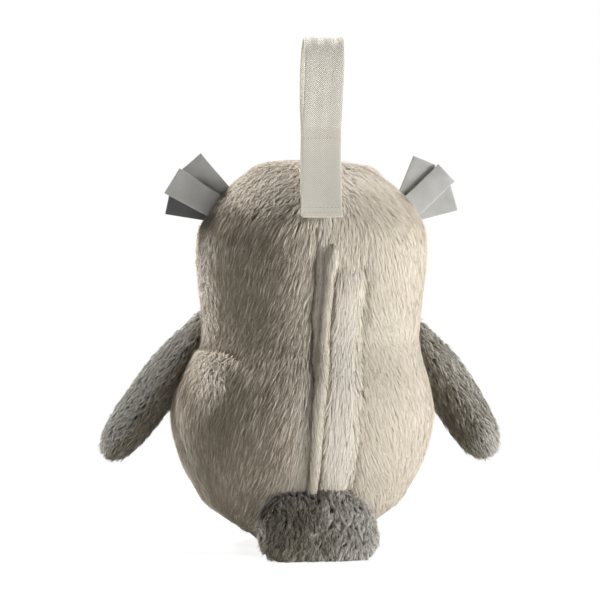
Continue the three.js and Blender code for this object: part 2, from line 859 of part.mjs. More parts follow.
// Sound unit, in its own frame: x across, y from the front face backwards, z up from its base
const unitPlace = new THREE.Vector3(unitX, unitY, unitLowHeight);

function placed(body) {
  return body.translate([unitPlace.x, unitPlace.y, unitPlace.z]);
}

const lowRightPost = [-postX, postEdge];
const lowLeftPost = [postX, postEdge];
const highRightPost = [-postX, unitHeight - postEdge];
const highLeftPost = [postX, unitHeight - postEdge];
const postSpots = [lowRightPost, lowLeftPost, highRightPost, highLeftPost];

function caseBlock(y0, y1, inset) {
  const shape = roundedRectangle(unitWidth / 2 - inset, inset, unitHeight - inset, unitCorner - inset);
  return prism(shape, y1 - y0, alongY, new THREE.Vector3(0, y0, 0));
}

function frontCase() {
  let body = caseBlock(0, unitSplit, 0).subtract(caseBlock(unitWall, unitDepth, unitWall));
  postSpots.forEach(([x, z]) => {
    body = body.add(discAlongY(x, z, postRadius, unitWall / 2, unitSplit, 14));
    body = body.subtract(discAlongY(x, z, screwShaft + touchGap, unitWall, unitDepth, 10));
  });
  body = body.subtract(discAlongY(0, speakerHeight, grilleHoleRadius, -unitWall, 2 * unitWall, 8));
  for (let i = 0; i < grilleHoles; i += 1) {
    const turn = (2 * Math.PI * i) / grilleHoles;
    const x = grilleRingRadius * Math.cos(turn);
    const z = speakerHeight + grilleRingRadius * Math.sin(turn);
    body = body.subtract(discAlongY(x, z, grilleHoleRadius, -unitWall, 2 * unitWall, 8));
  }
  return placed(body);
}

function rearCase() {
  const joined = rearInside + touchGap;
  let body = caseBlock(rearStart, unitDepth, 0).subtract(caseBlock(0, rearInside, unitWall));
  const bayOuter = bayHalfWidth + bayWall;
  body = body.add(box(-bayOuter, bayOuter, bayBack, joined, bayLow - bayWall, bayHigh + bayWall));
  const tongueBlock = lidTongueHalfWidth + bayWall;
  const blockStart = rearInside - tongueBlockDepth;
  body = body.add(box(-tongueBlock, tongueBlock, blockStart, joined, bayHigh, tongueHigh + bayWall));
  postSpots.forEach(([x, z]) => {
    body = body.add(discAlongY(x, z, postRadius, rearStart, joined, 14));
  });
  body = body.subtract(box(-bayHalfWidth, bayHalfWidth, bayFloor, cutReach, bayLow, bayHigh));
  const tongueHalf = lidTongueHalfWidth + touchGap;
  const recess = lidInner - touchGap;
  const [recessLow, recessHigh] = [bayHigh - touchGap, tongueHigh + touchGap];
  body = body.subtract(box(-tongueHalf, tongueHalf, recess, cutReach, recessLow, recessHigh));
  const [shaftRoom, shaftStart] = [screwShaft + touchGap, blockStart + unitWall];
  body = body.subtract(discAlongY(0, lidScrewHeight, shaftRoom, shaftStart, cutReach, 10));
  const buttonRoom = buttonRadius + touchGap;
  body = body.subtract(discAlongY(buttonX, buttonZ, buttonRoom, rearInside - unitWall, cutReach));
  const flangeRoom = discAlongY(buttonX, buttonZ, buttonFlange + touchGap, rearStart - touchGap, rearInside);
  body = body.subtract(flangeRoom);
  postSpots.forEach(([x, z]) => {
    body = body.subtract(discAlongY(x, z, screwHead + touchGap, screwSeat, cutReach, 12));
    body = body.subtract(discAlongY(x, z, screwShaft + touchGap, 0, cutReach, 10));
  });
  return placed(body);
}

function unitButton() {
  const inside = rearInside - hookGap;
  const reach = boardBack + switchPadRise + buttonTravelRoom;
  return placed(turnedAlongY(buttonX, 0, buttonZ, [
    [0, reach],
    [buttonStem, reach],
    [buttonStem, inside - buttonFlangeDepth],
    [buttonFlange, inside - buttonFlangeDepth],
    [buttonFlange, inside],
    [buttonRadius, inside],
    [buttonRadius, unitDepth + buttonProud - touchGap],
    [buttonRadius - touchGap, unitDepth + buttonProud],
    [0, unitDepth + buttonProud],
  ]));
}

function speaker() {
  return placed(turnedAlongY(0, 0, speakerHeight, [
    [0, speakerFront + unitWall],
    [speakerRadius - unitWall, speakerFront],
    [speakerRadius, speakerFront],
    [speakerRadius, speakerFront + unitWall],
    [magnetRadius, speakerBack - unitWall],
    [magnetRadius, speakerBack],
    [0, speakerBack],
  ], 24));
}

function circuitBoard() {
  const [y0, y1] = [boardFront, boardBack];
  const [halfX, halfZ, mid] = [boardHalf.x, boardHalf.z, unitHeight / 2];
  let body = box(-halfX, halfX, y0, y1, mid - halfZ, mid + halfZ);
  postSpots.forEach(([x, z]) => {
    const [sideX, sideZ] = [Math.sign(x), Math.sign(z - mid)];
    const [farX, farZ] = [sideX * cutReach, mid + sideZ * cutReach];
    const [nearX, nearZ] = [sideX * (halfX - boardNotch), mid + sideZ * (halfZ - boardNotch)];
    const notch = [Math.min(nearX, farX), Math.max(nearX, farX), 0, unitDepth];
    body = body.subtract(box(...notch, Math.min(nearZ, farZ), Math.max(nearZ, farZ)));
  });
  const rise = y1 - touchGap;
  body = body.add(box(chipX, chipX + chipWidth, rise, y1 + chipRise, chipZ, chipZ + chipHeight));
  const [padX, padZ] = [buttonX - switchPadSide / 2, buttonZ - switchPadSide / 2];
  const padTop = y1 + switchPadRise;
  body = body.add(box(padX, padX + switchPadSide, rise, padTop, padZ, padZ + switchPadSide));
  return placed(body);
}

function upright(x, y, z, outline, segments) {
  const points = outline.map(([radius, height]) => new THREE.Vector2(radius, height));
  const geometry = new THREE.LatheGeometry(points, segments);
  geometry.rotateX(Math.PI / 2);
  geometry.translate(x, y, z);
  return solid(geometry);
}

function battery(spot) {
  return placed(upright(spot * batteryPitch, batteryY, batteryBase, [
    [0, 0],
    [batteryRadius, 0],
    [batteryRadius, batteryLength],
    [batteryNubRadius, batteryLength],
    [batteryNubRadius, batteryLength + batteryNubLength],
    [0, batteryLength + batteryNubLength],
  ], 16));
}

function springContacts() {
  const half = bayHalfWidth - touchGap;
  const [y0, y1] = [batteryY - batteryRadius, batteryY + batteryRadius];
  let body = box(-half, half, y0, y1, bayLow + touchGap, springBase);
  [-1, 0, 1].forEach((spot) => {
    body = body.add(upright(spot * batteryPitch, batteryY, springBase - contactThickness / 2, [
      [0, 0],
      [springRadius, 0],
      [springTipRadius, springLength + contactThickness / 2],
      [0, springLength + contactThickness / 2],
    ], 10));
  });
  return placed(body);
}

function flatContacts() {
  const half = bayHalfWidth - touchGap;
  const z0 = batteryTop + touchGap;
  const [y0, y1] = [batteryY - batteryRadius, batteryY + batteryRadius];
  return placed(box(-half, half, y0, y1, z0, z0 + contactThickness));
}

function batteryLid() {
  const half = bayHalfWidth - touchGap;
  const y0 = lidInner;
  let body = box(-half, half, y0, unitDepth, bayLow + touchGap, bayHigh - touchGap);
  const reach = bayHigh - 2 * touchGap;
  body = body.add(box(-lidTongueHalfWidth, lidTongueHalfWidth, y0, unitDepth, reach, tongueHigh));
  body = body.subtract(discAlongY(0, lidScrewHeight, screwShaft + touchGap, 0, cutReach, 10));
  return placed(body);
}

function screw(x, z, seat, length) {
  return placed(turnedAlongY(x, 0, z, [
    [0, seat - length],
    [screwShaft, seat - length],
    [screwShaft, seat],
    [screwHead, seat],
    [screwHead, seat + screwHeadDepth],
    [0, seat + screwHeadDepth],
  ], 12));
}

const plush = '#c9beb0';
const darkPlush = '#6f6a5d';
const felt = '#8f8f8c';
const palePlush = '#efe9df';
const webbing = '#e3dccb';
const casing = '#d8d8d4';
const metal = '#b8b8bc';

const caseScrewSeat = screwSeat + hookGap;
const pieces = [
  ['body_cover', bodyCover(), plush],
  ['body_filling', bodyFilling(), '#f4f2ee'],
  ['pouch_lining', pouchLining(), '#d9d4ca'],
  ['left_wing', wing(leftWing), darkPlush],
  ['right_wing', wing(rightWing), darkPlush],
  ['tail', tail(), darkPlush],
  ['left_foot', foot(1), darkPlush],
  ['right_foot', foot(-1), darkPlush],
  ['face_panel', panel(splineShape(faceCentre, faceHalfWidth, faceHalfHeight, faceOutlineShares),
    -1, touchGap, touchGap + panelThickness), palePlush],
  ['belly_panel', panel(ellipseShape(bellyPanelCentre, bellyPanelHalfWidth, bellyPanelHalfHeight),
    -1, touchGap, touchGap + panelThickness), palePlush],
  ['left_eye_patch', eyePatch(1), felt],
  ['right_eye_patch', eyePatch(-1), felt],
  ['left_eye', eye(1), '#2a2622'],
  ['right_eye', eye(-1), '#2a2622'],
  ['beak', beak(), '#c9a063'],
  ['left_tuft_upper', feltStrip(leftTuftUpper), felt],
  ['left_tuft_middle', feltStrip(leftTuftMiddle), felt],
  ['left_tuft_lower', feltStrip(leftTuftLower), felt],
  ['right_tuft_upper', feltStrip(rightTuftUpper), felt],
  ['right_tuft_middle', feltStrip(rightTuftMiddle), felt],
  ['right_tuft_lower', feltStrip(rightTuftLower), felt],
  ['strap_sewn_strand', ribbon(sewnPath, webThickness, webWidth).subtract(foldCut()), webbing],
  ['strap_free_strand', ribbon(freePath, webThickness, webWidth).subtract(foldCut()), webbing],
  ['strap_loop_patch', ribbon(loopPatchPath.filter(betweenPatches), patchThickness, patchWidth), '#d8d2c4'],
  ['strap_hook_patch', ribbon(hookPatchPath.filter(betweenPatches), patchThickness, patchWidth), '#cfc9bb'],
  ['closure_flap', panel(flapShape, 1, flapInner, flapOuter), plush],
  ['closure_hem', panel(hemShape, 1, touchGap, hemRise), plush],
  ['closure_underlap', panel(underlapShape, 1, underlapInner, underlapOuter), '#bdb4a6'],
  ['closure_hook_strip', panel(gripShape, 1, hookInner, hookOuter), '#e6e1d6'],
  ['closure_loop_strip', panel(loopGripShape, 1, loopInner, loopOuter), '#ded8cc'],
  ['unit_front_case', frontCase(), casing],
  ['unit_rear_case', rearCase(), casing],
  ['unit_button', unitButton(), '#7fa6b8'],
  ['unit_speaker', speaker(), '#3a3a3c'],
  ['unit_board', circuitBoard(), '#2f6b45'],
  ['battery_left', battery(1), '#4a6f8a'],
  ['battery_middle', battery(0), '#4a6f8a'],
  ['battery_right', battery(-1), '#4a6f8a'],
  ['battery_springs', springContacts(), metal],
  ['battery_contacts', flatContacts(), metal],
  ['battery_lid', batteryLid(), casing],
  ['battery_lid_screw', screw(0, lidScrewHeight, unitDepth + hookGap, lidScrewLength), metal],
  ['case_screw_low_right', screw(...lowRightPost, caseScrewSeat, screwLength), metal],
  ['case_screw_low_left', screw(...lowLeftPost, caseScrewSeat, screwLength), metal],
  ['case_screw_high_right', screw(...highRightPost, caseScrewSeat, screwLength), metal],
  ['case_screw_high_left', screw(...highLeftPost, caseScrewSeat, screwLength), metal],
];

const group = new THREE.Group();
group.name = 'plush_owl';
pieces.forEach(([name, body, colour]) => {
  const mesh = new THREE.Mesh(geometryOf(body), new THREE.MeshStandardMaterial({ color: colour }));
  mesh.name = name;
  group.add(mesh);
});

export default group;
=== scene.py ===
"""Plush owl with a hanging strap, seen from behind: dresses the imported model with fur, felt and webbing."""

import logging
import math
from dataclasses import dataclass, field
from enum import Enum
from typing import Callable, Sequence

import bpy
import numpy as np
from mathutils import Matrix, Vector


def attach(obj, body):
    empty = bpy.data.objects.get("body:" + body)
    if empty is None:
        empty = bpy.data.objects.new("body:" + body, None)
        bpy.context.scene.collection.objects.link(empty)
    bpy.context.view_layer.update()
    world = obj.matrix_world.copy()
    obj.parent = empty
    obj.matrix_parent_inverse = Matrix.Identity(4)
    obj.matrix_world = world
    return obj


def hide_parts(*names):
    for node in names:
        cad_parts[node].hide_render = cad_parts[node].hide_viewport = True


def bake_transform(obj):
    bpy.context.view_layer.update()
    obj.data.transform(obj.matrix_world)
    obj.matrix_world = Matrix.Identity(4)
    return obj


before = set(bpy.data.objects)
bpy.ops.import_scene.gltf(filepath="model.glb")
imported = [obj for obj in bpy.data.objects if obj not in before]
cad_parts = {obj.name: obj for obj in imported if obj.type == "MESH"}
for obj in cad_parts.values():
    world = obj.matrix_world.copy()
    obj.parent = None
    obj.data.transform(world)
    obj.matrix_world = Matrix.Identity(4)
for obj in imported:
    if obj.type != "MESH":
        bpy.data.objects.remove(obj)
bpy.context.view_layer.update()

LOG = logging.getLogger("plush_owl")
MM = 0.001
Array = np.ndarray
Mapping = Callable[[Array], Array]
Field = Callable[[Array, Array], Array]


class Side(Enum):
    """Which side of the owl a piece is on; the owl's own left is +X."""

    LEFT = 1
    RIGHT = -1


class Body(Enum):
    """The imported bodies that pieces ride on."""

    TOY = "toy"
    LEFT_WING = "left_wing"
    RIGHT_WING = "right_wing"
    TAIL = "tail"
    FLAP = "closure_flap"
    STRAP_END = "strap_free_end"


# Helpers for numbers and curves


def unit(vectors: Array) -> Array:
    """Vectors scaled to length one.

    Args:
        vectors: an array whose last axis is x, y, z.

    Returns:
        The same array with each vector at length one.
    """
    length = np.linalg.norm(vectors, axis=-1, keepdims=True)
    return vectors / np.maximum(length, 1e-9)


def smooth(low: float, high: float, value: Array) -> Array:
    """A smooth step.

    Args:
        low: where the step starts.
        high: where it ends.
        value: where it is read.

    Returns:
        0 before low, 1 after high and a smooth rise between.
    """
    share = np.clip((value - low) / (high - low), 0, 1)
    return share * share * (3 - 2 * share)


def bump(value: Array, centre: float | Array, width: float) -> Array:
    """A bell of height one round a centre.

    Args:
        value: where it is read.
        centre: the middle of the bell.
        width: how far the bell falls to about a third.

    Returns:
        The bell's height at each value.
    """
    return np.exp(-(((value - centre) / width) ** 2))


def ripple(points: Array, size: float, seed: int) -> Array:
    """Slow, smooth noise in space, about -1 to 1.

    Args:
        points: places in millimetres.
        size: the length of one wave in millimetres.
        seed: which noise it is.

    Returns:
        One value for each point.
    """
    rng = np.random.default_rng(seed)
    total = np.zeros(len(points))
    for _ in range(5):
        direction = unit(rng.normal(size=3))
        phase = points @ direction * (2 * math.pi / size) * rng.uniform(0.7, 1.4) + rng.uniform(0, 6.28)
        total += np.sin(phase)
    return total / 2.6


def curve_through(points: Sequence[Sequence[float]], samples: int) -> Array:
    """A centripetal Catmull-Rom curve.

    Args:
        points: the knots.
        samples: how many points to return.

    Returns:
        Points along the curve.
    """
    knots = np.array(points, float)
    knots = np.vstack([2 * knots[0] - knots[1], knots, 2 * knots[-1] - knots[-2]])
    steps = np.sqrt(np.linalg.norm(np.diff(knots, axis=0), axis=1))
    place = np.linspace(0, len(points) - 1 - 1e-9, samples)
    found = []
    for value in place:
        i = int(value)
        p0, p1, p2, p3 = knots[i:i + 4]
        d0, d1, d2 = steps[i:i + 3]
        t1 = (p1 - p0) / d0 - (p2 - p0) / (d0 + d1) + (p2 - p1) / d1
        t2 = (p2 - p1) / d1 - (p3 - p1) / (d1 + d2) + (p3 - p2) / d2
        t1, t2, s = t1 * d1, t2 * d1, value - i
        c2, c3 = 3 * (p2 - p1) - 2 * t1 - t2, 2 * (p1 - p2) + t1 + t2
        found.append(p1 + s * (t1 + s * (c2 + s * c3)))
    return np.array(found)


def run_of(path: Array) -> Array:
    """How far along a path each of its points lies."""
    return np.concatenate([[0], np.cumsum(np.linalg.norm(np.diff(path, axis=0), axis=1))])


def evenly(path: Array, count: int) -> Array:
    """Points at even steps of length along a path.

    Args:
        path: the path's points.
        count: how many points to return.

    Returns:
        The evenly spaced points.
    """
    run = run_of(path)
    at = np.linspace(0, run[-1], count)
    return np.column_stack([np.interp(at, run, path[:, k]) for k in range(path.shape[1])])


def rounded(value: Array, power: float) -> Array:
    """The superellipse's own sine or cosine."""
    return np.sign(value) * np.abs(value) ** (2 / power)


# Forms that pieces share

# The body's outline: shares of its height and of its half width
BODY_OUTLINE = [
    (0, 0), (0.002, 0.28), (0.018, 0.36), (0.042, 0.452), (0.066, 0.567), (0.0905, 0.665),
    (0.127, 0.778), (0.171, 0.854), (0.219, 0.924), (0.276, 0.974), (0.332, 1), (0.384, 0.992),
    (0.437, 0.953), (0.493, 0.885), (0.545, 0.836), (0.598, 0.831), (0.646, 0.843),
    (0.694, 0.858), (0.75, 0.869), (0.799, 0.861), (0.843, 0.83), (0.895, 0.731),
    (0.936, 0.614), (0.968, 0.491), (0.988, 0.398), (0.997, 0.22), (1, 0),
]

# The front's panels: height of the middle, and half sizes across and up
FACE_HEIGHT = 190.0
FACE_HALF = (58.0, 40.0)
BELLY_HEIGHT = 82.0
BELLY_HALF = (47.0, 50.0)


@dataclass
class PearForm:
    """The stuffed pear of head and body, in millimetres, as the CAD has it."""

    height: float = 248.0
    floor_cut: float = 0.5
    half_width: float = 85.5
    depth_share: float = 0.83
    power: float = 2.15
    belly_shift: float = 3.5
    head_shift: float = -3.3
    lean_start: float = 0.4
    lean_end: float = 0.62
    samples: int = 600
    outline: Array = field(init=False)
    run: Array = field(init=False)

    def __post_init__(self) -> None:
        """Works out the outline and the way along it."""
        span = self.height + self.floor_cut
        knots = [(h * span, w * self.half_width) for h, w in BODY_OUTLINE]
        self.outline = evenly(curve_through(knots, self.samples * 4), self.samples)
        self.outline[:, 0] -= self.floor_cut
        self.outline[:, 1] = np.maximum(self.outline[:, 1], 0)
        self.run = np.linspace(0, 1, self.samples)

    def lean(self, z: Array) -> Array:
        """The sideways place of the middle at each height."""
        mix = smooth(self.lean_start, self.lean_end, z / self.height)
        return self.belly_shift + (self.head_shift - self.belly_shift) * mix

    def width_at(self, z: Array) -> Array:
        """The half width at each height."""
        return np.interp(z, self.outline[:, 0], self.outline[:, 1])

    def point(self, along: Array, turn: Array) -> Array:
        """Points on the form.

        Args:
            along: share of the way from the sole to the crown, along the outline.
            turn: angle round the form; a quarter turn is the middle of the back.

        Returns:
            Points in millimetres.
        """
        z = np.interp(along, self.run, self.outline[:, 0])
        w = np.interp(along, self.run, self.outline[:, 1])
        x = self.lean(z) + w * rounded(np.cos(turn), self.power)
        y = w * self.depth_share * rounded(np.sin(turn), self.power)
        return np.column_stack([x, y, z])

    def normal(self, along: Array, turn: Array) -> Array:
        """Outward directions on the form.

        Args:
            along: share of the way from the sole to the crown, along the outline.
            turn: angle round the form.

        Returns:
            One direction for each point.
        """
        step, swing = 0.004, 0.02
        low, high = np.clip(along - step, 0.001, 0.999), np.clip(along + step, 0.001, 0.999)
        up = self.point(high, turn) - self.point(low, turn)
        here = np.clip(along, 0.003, 0.997)
        side = self.point(here, turn + swing) - self.point(here, turn - swing)
        return unit(np.cross(side, up))

    def back_of(self, x: Array, z: Array, front: bool = False) -> tuple[Array, Array]:
        """The place on the form behind or before a point of the X-Z plane.

        Args:
            x: place across.
            z: height.
            front: True for the face's side.

        Returns:
            The points and the outward directions there.
        """
        along = np.interp(z, self.outline[:, 0], self.run)
        width = np.maximum(self.width_at(z), 1e-3)
        share = np.clip((x - self.lean(z)) / width, -0.999, 0.999)
        cosine = rounded(share, 4 / self.power)
        turn = np.arccos(np.clip(cosine, -1, 1)) * (-1 if front else 1)
        return self.point(along, turn), self.normal(along, turn)


PEAR = PearForm()


@dataclass
class ClosureLines:
    """The slanted lines of the rear closure, in millimetres."""

    top: float = 182.8
    bottom: float = 41.8
    free_top: float = -10.6
    free_bottom: float = 0.6
    hinge_top: float = -26.6
    hinge_bottom: float = -18.9
    seam_top: float = 3.6
    seam_bottom: float = 8.6
    free_gap: float = 2.2
    hinge_gap: float = 0.8
    hem_setback: float = 1.0
    hem_width: float = 4.5
    hem_top: float = 196.0
    bow: float = 1.9
    bow_height: float = 88.0
    bow_reach: float = 24.0

    def at(self, z: Array, top: float, bottom: float) -> Array:
        """A slanted line's place across at each height."""
        return bottom + (top - bottom) * (z - self.bottom) / (self.top - self.bottom)

    def free(self, z: Array) -> Array:
        """The flap's free edge, which bows a little over the belly."""
        straight = self.at(z, self.free_top, self.free_bottom)
        return straight + self.bow * bump(z, self.bow_height, self.bow_reach)

    def hinge(self, z: Array) -> Array:
        """The flap's sewn edge."""
        return self.at(z, self.hinge_top, self.hinge_bottom)

    def seam(self, z: Array) -> Array:
        """The deep groove on the hem's far side."""
        return self.at(z, self.seam_top, self.seam_bottom)


LINES = ClosureLines()


# Meshes


def only(obj: bpy.types.Object) -> None:
    """Selects one object and makes it active."""
    bpy.ops.object.select_all(action="DESELECT")
    obj.select_set(True)
    bpy.context.view_layer.objects.active = obj


def coordinates(obj: bpy.types.Object) -> Array:
    """A mesh's points, in its own units."""
    found = np.empty(len(obj.data.vertices) * 3)
    obj.data.vertices.foreach_get("co", found)
    return found.reshape(-1, 3)


def place(obj: bpy.types.Object, points: Array) -> None:
    """Moves a mesh's points to places given in millimetres."""
    obj.data.vertices.foreach_set("co", (points * MM).ravel())
    obj.data.update()


def sphere_form(name: str, segments: int, rings: int, mapping: Mapping) -> bpy.types.Object:
    """A closed form: a primitive sphere whose points are moved to the shape.

    Args:
        name: the piece's name.
        segments: faces round it.
        rings: faces from pole to pole.
        mapping: turns points of the unit sphere into millimetres.

    Returns:
        The new object, smooth shaded, with its place in its mesh.
    """
    bpy.ops.object.select_all(action="DESELECT")
    bpy.ops.mesh.primitive_uv_sphere_add(segments=segments, ring_count=rings, radius=1)
    obj = bpy.context.active_object
    obj.name = obj.data.name = name
    place(obj, mapping(coordinates(obj)))
    bpy.ops.object.shade_smooth()
    return obj


def slab_form(name: str, cells: tuple[int, int], mapping: Mapping, thickness: float, offset: float = 0.0,
              edge: float = 0.0) -> bpy.types.Object:
    """A strip or sheet: a primitive grid that is shaped, thickened and has its edges rounded.

    Args:
        name: the piece's name.
        cells: faces along and across.
        mapping: turns points of the grid, -1 to 1 each way, into millimetres.
        thickness: in millimetres.
        offset: -1 to 1, which side of the shaped sheet the thickness lies on.
        edge: radius of the rounded edges in millimetres.

    Returns:
        The new object, with its modifiers applied.
    """
    bpy.ops.object.select_all(action="DESELECT")
    bpy.ops.mesh.primitive_grid_add(x_subdivisions=cells[0], y_subdivisions=cells[1], size=2)
    obj = bpy.context.active_object
    obj.name = obj.data.name = name
    place(obj, mapping(coordinates(obj)))
    wall = obj.modifiers.new("wall", "SOLIDIFY")
    wall.thickness, wall.offset, wall.use_even_offset = thickness * MM, offset, True
    bpy.ops.object.modifier_apply(modifier="wall")
    if edge:
        rim = obj.modifiers.new("rim", "BEVEL")
        rim.width, rim.segments, rim.limit_method, rim.angle_limit = edge * MM, 2, "ANGLE", math.radians(50)
        bpy.ops.object.modifier_apply(modifier="rim")
    bpy.ops.object.shade_smooth()
    return obj


def polar(points: Array) -> tuple[Array, Array]:
    """Pole-to-pole share and turn of points on the unit sphere."""
    return np.arccos(np.clip(-points[:, 2], -1, 1)) / math.pi, np.arctan2(points[:, 1], points[:, 0])


# Finishes


def linear(hex_colour: str) -> tuple[float, float, float, float]:
    """An sRGB hex colour as linear values.

    Args:
        hex_colour: such as "#c9beb0".

    Returns:
        Red, green, blue and an alpha of one.
    """
    parts = [int(hex_colour[i:i + 2], 16) / 255 for i in (1, 3, 5)]
    red, green, blue = [p / 12.92 if p <= 0.04045 else ((p + 0.055) / 1.055) ** 2.4 for p in parts]
    return red, green, blue, 1.0


def node(tree: bpy.types.NodeTree, kind: str, settings: dict | None = None, links: dict | None = None,
         **inputs: object) -> bpy.types.Node:
    """Adds one node.

    Args:
        tree: where it goes.
        kind: the node's type.
        settings: its properties.
        links: input name or number to the socket that feeds it.
        **inputs: input values by name, with _ for a space.

    Returns:
        The node.
    """
    made = tree.nodes.new(kind)
    for key, value in (settings or {}).items():
        setattr(made, key, value)
    for key, value in inputs.items():
        made.inputs[key.replace("_", " ")].default_value = value
    for key, socket in (links or {}).items():
        tree.links.new(socket, made.inputs[key])
    return made


@dataclass(frozen=True)
class Finish:
    """A surface: what all finishes share."""

    name: str
    colour: str
    roughness: float = 0.9
    ior: float = 1.45
    sheen: float = 0.0
    metallic: float = 0.0

    def start(self) -> tuple[bpy.types.Material, bpy.types.NodeTree, bpy.types.Node]:
        """A material with its shader, whose plain numbers stand on the shader's sockets."""
        material = bpy.data.materials.new(self.name)
        material.use_nodes = True
        tree = material.node_tree
        shader = tree.nodes["Principled BSDF"]
        shader.inputs["Base Color"].default_value = linear(self.colour)
        shader.inputs["Roughness"].default_value = self.roughness
        shader.inputs["IOR"].default_value = self.ior
        shader.inputs["Metallic"].default_value = self.metallic
        shader.inputs["Sheen Weight"].default_value = self.sheen
        return material, tree, shader

    def tint(self, tree: bpy.types.NodeTree, shader: bpy.types.Node, shade: bpy.types.NodeSocket) -> None:
        """Shades the finish's colour and gives it to the shader.

        Args:
            tree: the material's nodes.
            shader: its shader.
            shade: what the colour is multiplied by.
        """
        mixed = node(tree, "ShaderNodeMix", {"data_type": "RGBA", "blend_type": "MULTIPLY"}, {7: shade},
                     Factor=1.0)
        mixed.inputs[6].default_value = linear(self.colour)
        tree.links.new(mixed.outputs[2], shader.inputs["Base Color"])

    def make(self) -> bpy.types.Material:
        """The finished material."""
        return self.start()[0]


@dataclass(frozen=True)
class PileFinish(Finish):
    """Polyester faux fur: dull, pale at the tips and darker towards the roots as painted shade between the
    hairs, with a soft sheen.
    """

    root: str = "#8f8578"
    streak: str = "#a89d8f"
    light: str = "#e6ded1"

    def make(self) -> bpy.types.Material:
        """Colour from each hair's own tone, with painted shade towards its root."""
        material, tree, shader = self.start()
        tone = node(tree, "ShaderNodeAttribute", {"attribute_name": "tone"})
        tip = node(tree, "ShaderNodeAttribute", {"attribute_name": "tip"})
        lock = node(tree, "ShaderNodeValToRGB", links={0: tone.outputs["Fac"]})
        ramp = lock.color_ramp
        ramp.elements[0].color, ramp.elements[1].color = linear(self.streak), linear(self.light)
        ramp.elements[0].position, ramp.elements[1].position = 0.05, 0.95
        middle = ramp.elements.new(0.5)
        middle.color = linear(self.colour)
        # Painted shade between the hairs: the root colour fades into the tone along each hair.
        depth = node(tree, "ShaderNodeMapRange", links={"Value": tip.outputs["Fac"]},
                     From_Min=0.0, From_Max=0.8, To_Min=0.0, To_Max=1.0)
        mixed = node(tree, "ShaderNodeMix", {"data_type": "RGBA"},
                     {"Factor": depth.outputs[0], 7: lock.outputs[0]})
        mixed.inputs[6].default_value = linear(self.root)
        tree.links.new(mixed.outputs[2], shader.inputs["Base Color"])
        return material


@dataclass(frozen=True)
class BackingFinish(Finish):
    """Knitted backing under the pile, seen only as dark between the hairs."""

    stitch: float = 1.2

    def make(self) -> bpy.types.Material:
        """A fine knit of about a millimetre.

        Returns:
            The material.
        """
        material, tree, shader = self.start()
        where = node(tree, "ShaderNodeTexCoord")
        knit = node(tree, "ShaderNodeTexVoronoi", links={"Vector": where.outputs["Object"]},
                    Scale=1 / (self.stitch * MM))
        shade = node(tree, "ShaderNodeMapRange", links={"Value": knit.outputs["Distance"]},
                     To_Min=1.0, To_Max=0.7)
        self.tint(tree, shader, shade.outputs[0])
        return material


@dataclass(frozen=True)
class FeltFinish(Finish):
    """Wool-mix felt: matted fibres of about half a millimetre, no weave, a little fuzz.

    The fibres are drawn a little coarser than they are, so that they show in the render.
    """

    fibre: float = 0.7
    mottle: float = 9.0

    def make(self) -> bpy.types.Material:
        """Mottled colour and a matted bump.

        Returns:
            The material.
        """
        material, tree, shader = self.start()
        where = node(tree, "ShaderNodeTexCoord")
        fine = node(tree, "ShaderNodeTexNoise", links={"Vector": where.outputs["Object"]},
                    Scale=1 / (self.fibre * MM), Detail=4.0, Roughness=0.7, Distortion=1.2)
        broad = node(tree, "ShaderNodeTexNoise", links={"Vector": where.outputs["Object"]},
                     Scale=1 / (self.mottle * MM), Detail=3.0)
        both = node(tree, "ShaderNodeMath", {"operation": "ADD"}, {0: fine.outputs[0], 1: broad.outputs[0]})
        shade = node(tree, "ShaderNodeMapRange", links={"Value": both.outputs[0]},
                     From_Min=0.6, From_Max=1.4, To_Min=0.82, To_Max=1.12)
        self.tint(tree, shader, shade.outputs[0])
        relief = node(tree, "ShaderNodeBump", links={"Height": fine.outputs[0]}, Strength=0.5,
                      Distance=0.0004)
        tree.links.new(relief.outputs[0], shader.inputs["Normal"])
        return material


@dataclass(frozen=True)
class WebbingFinish(Finish):
    """Cotton herringbone webbing: slanted ribs that turn every few millimetres.

    It is read from the strap's own map, which is in millimetres.
    """

    rib: float = 1.3
    column: float = 4.2

    def make(self) -> bpy.types.Material:
        """Ribs from a saw across a folded coordinate, with thread noise and a bump.

        Returns:
            The material.
        """
        material, tree, shader = self.start()
        where = node(tree, "ShaderNodeUVMap", {"uv_map": "weave"})
        parts = node(tree, "ShaderNodeSeparateXYZ", links={0: where.outputs[0]})
        fold = node(tree, "ShaderNodeMath", {"operation": "PINGPONG"}, {0: parts.outputs[0]})
        fold.inputs[1].default_value = self.column
        slant = node(tree, "ShaderNodeMath", {"operation": "ADD"}, {0: fold.outputs[0], 1: parts.outputs[1]})
        turns = node(tree, "ShaderNodeMath", {"operation": "MULTIPLY"}, {0: slant.outputs[0]})
        turns.inputs[1].default_value = 2 * math.pi / self.rib
        wave = node(tree, "ShaderNodeMath", {"operation": "SINE"}, {0: turns.outputs[0]})
        threads = node(tree, "ShaderNodeTexNoise", links={"Vector": where.outputs[0]}, Scale=1.6, Detail=4.0)
        level = node(tree, "ShaderNodeMapRange", links={"Value": wave.outputs[0]},
                     From_Min=-1.0, From_Max=1.0, To_Min=0.8, To_Max=1.03)
        grain = node(tree, "ShaderNodeMapRange", links={"Value": threads.outputs[0]},
                     From_Min=0.3, From_Max=0.7, To_Min=0.9, To_Max=1.06)
        shade = node(tree, "ShaderNodeMath", {"operation": "MULTIPLY"},
                     {0: level.outputs[0], 1: grain.outputs[0]})
        self.tint(tree, shader, shade.outputs[0])
        relief = node(tree, "ShaderNodeBump", links={"Height": wave.outputs[0]}, Strength=0.6,
                      Distance=0.0003)
        tree.links.new(relief.outputs[0], shader.inputs["Normal"])
        return material


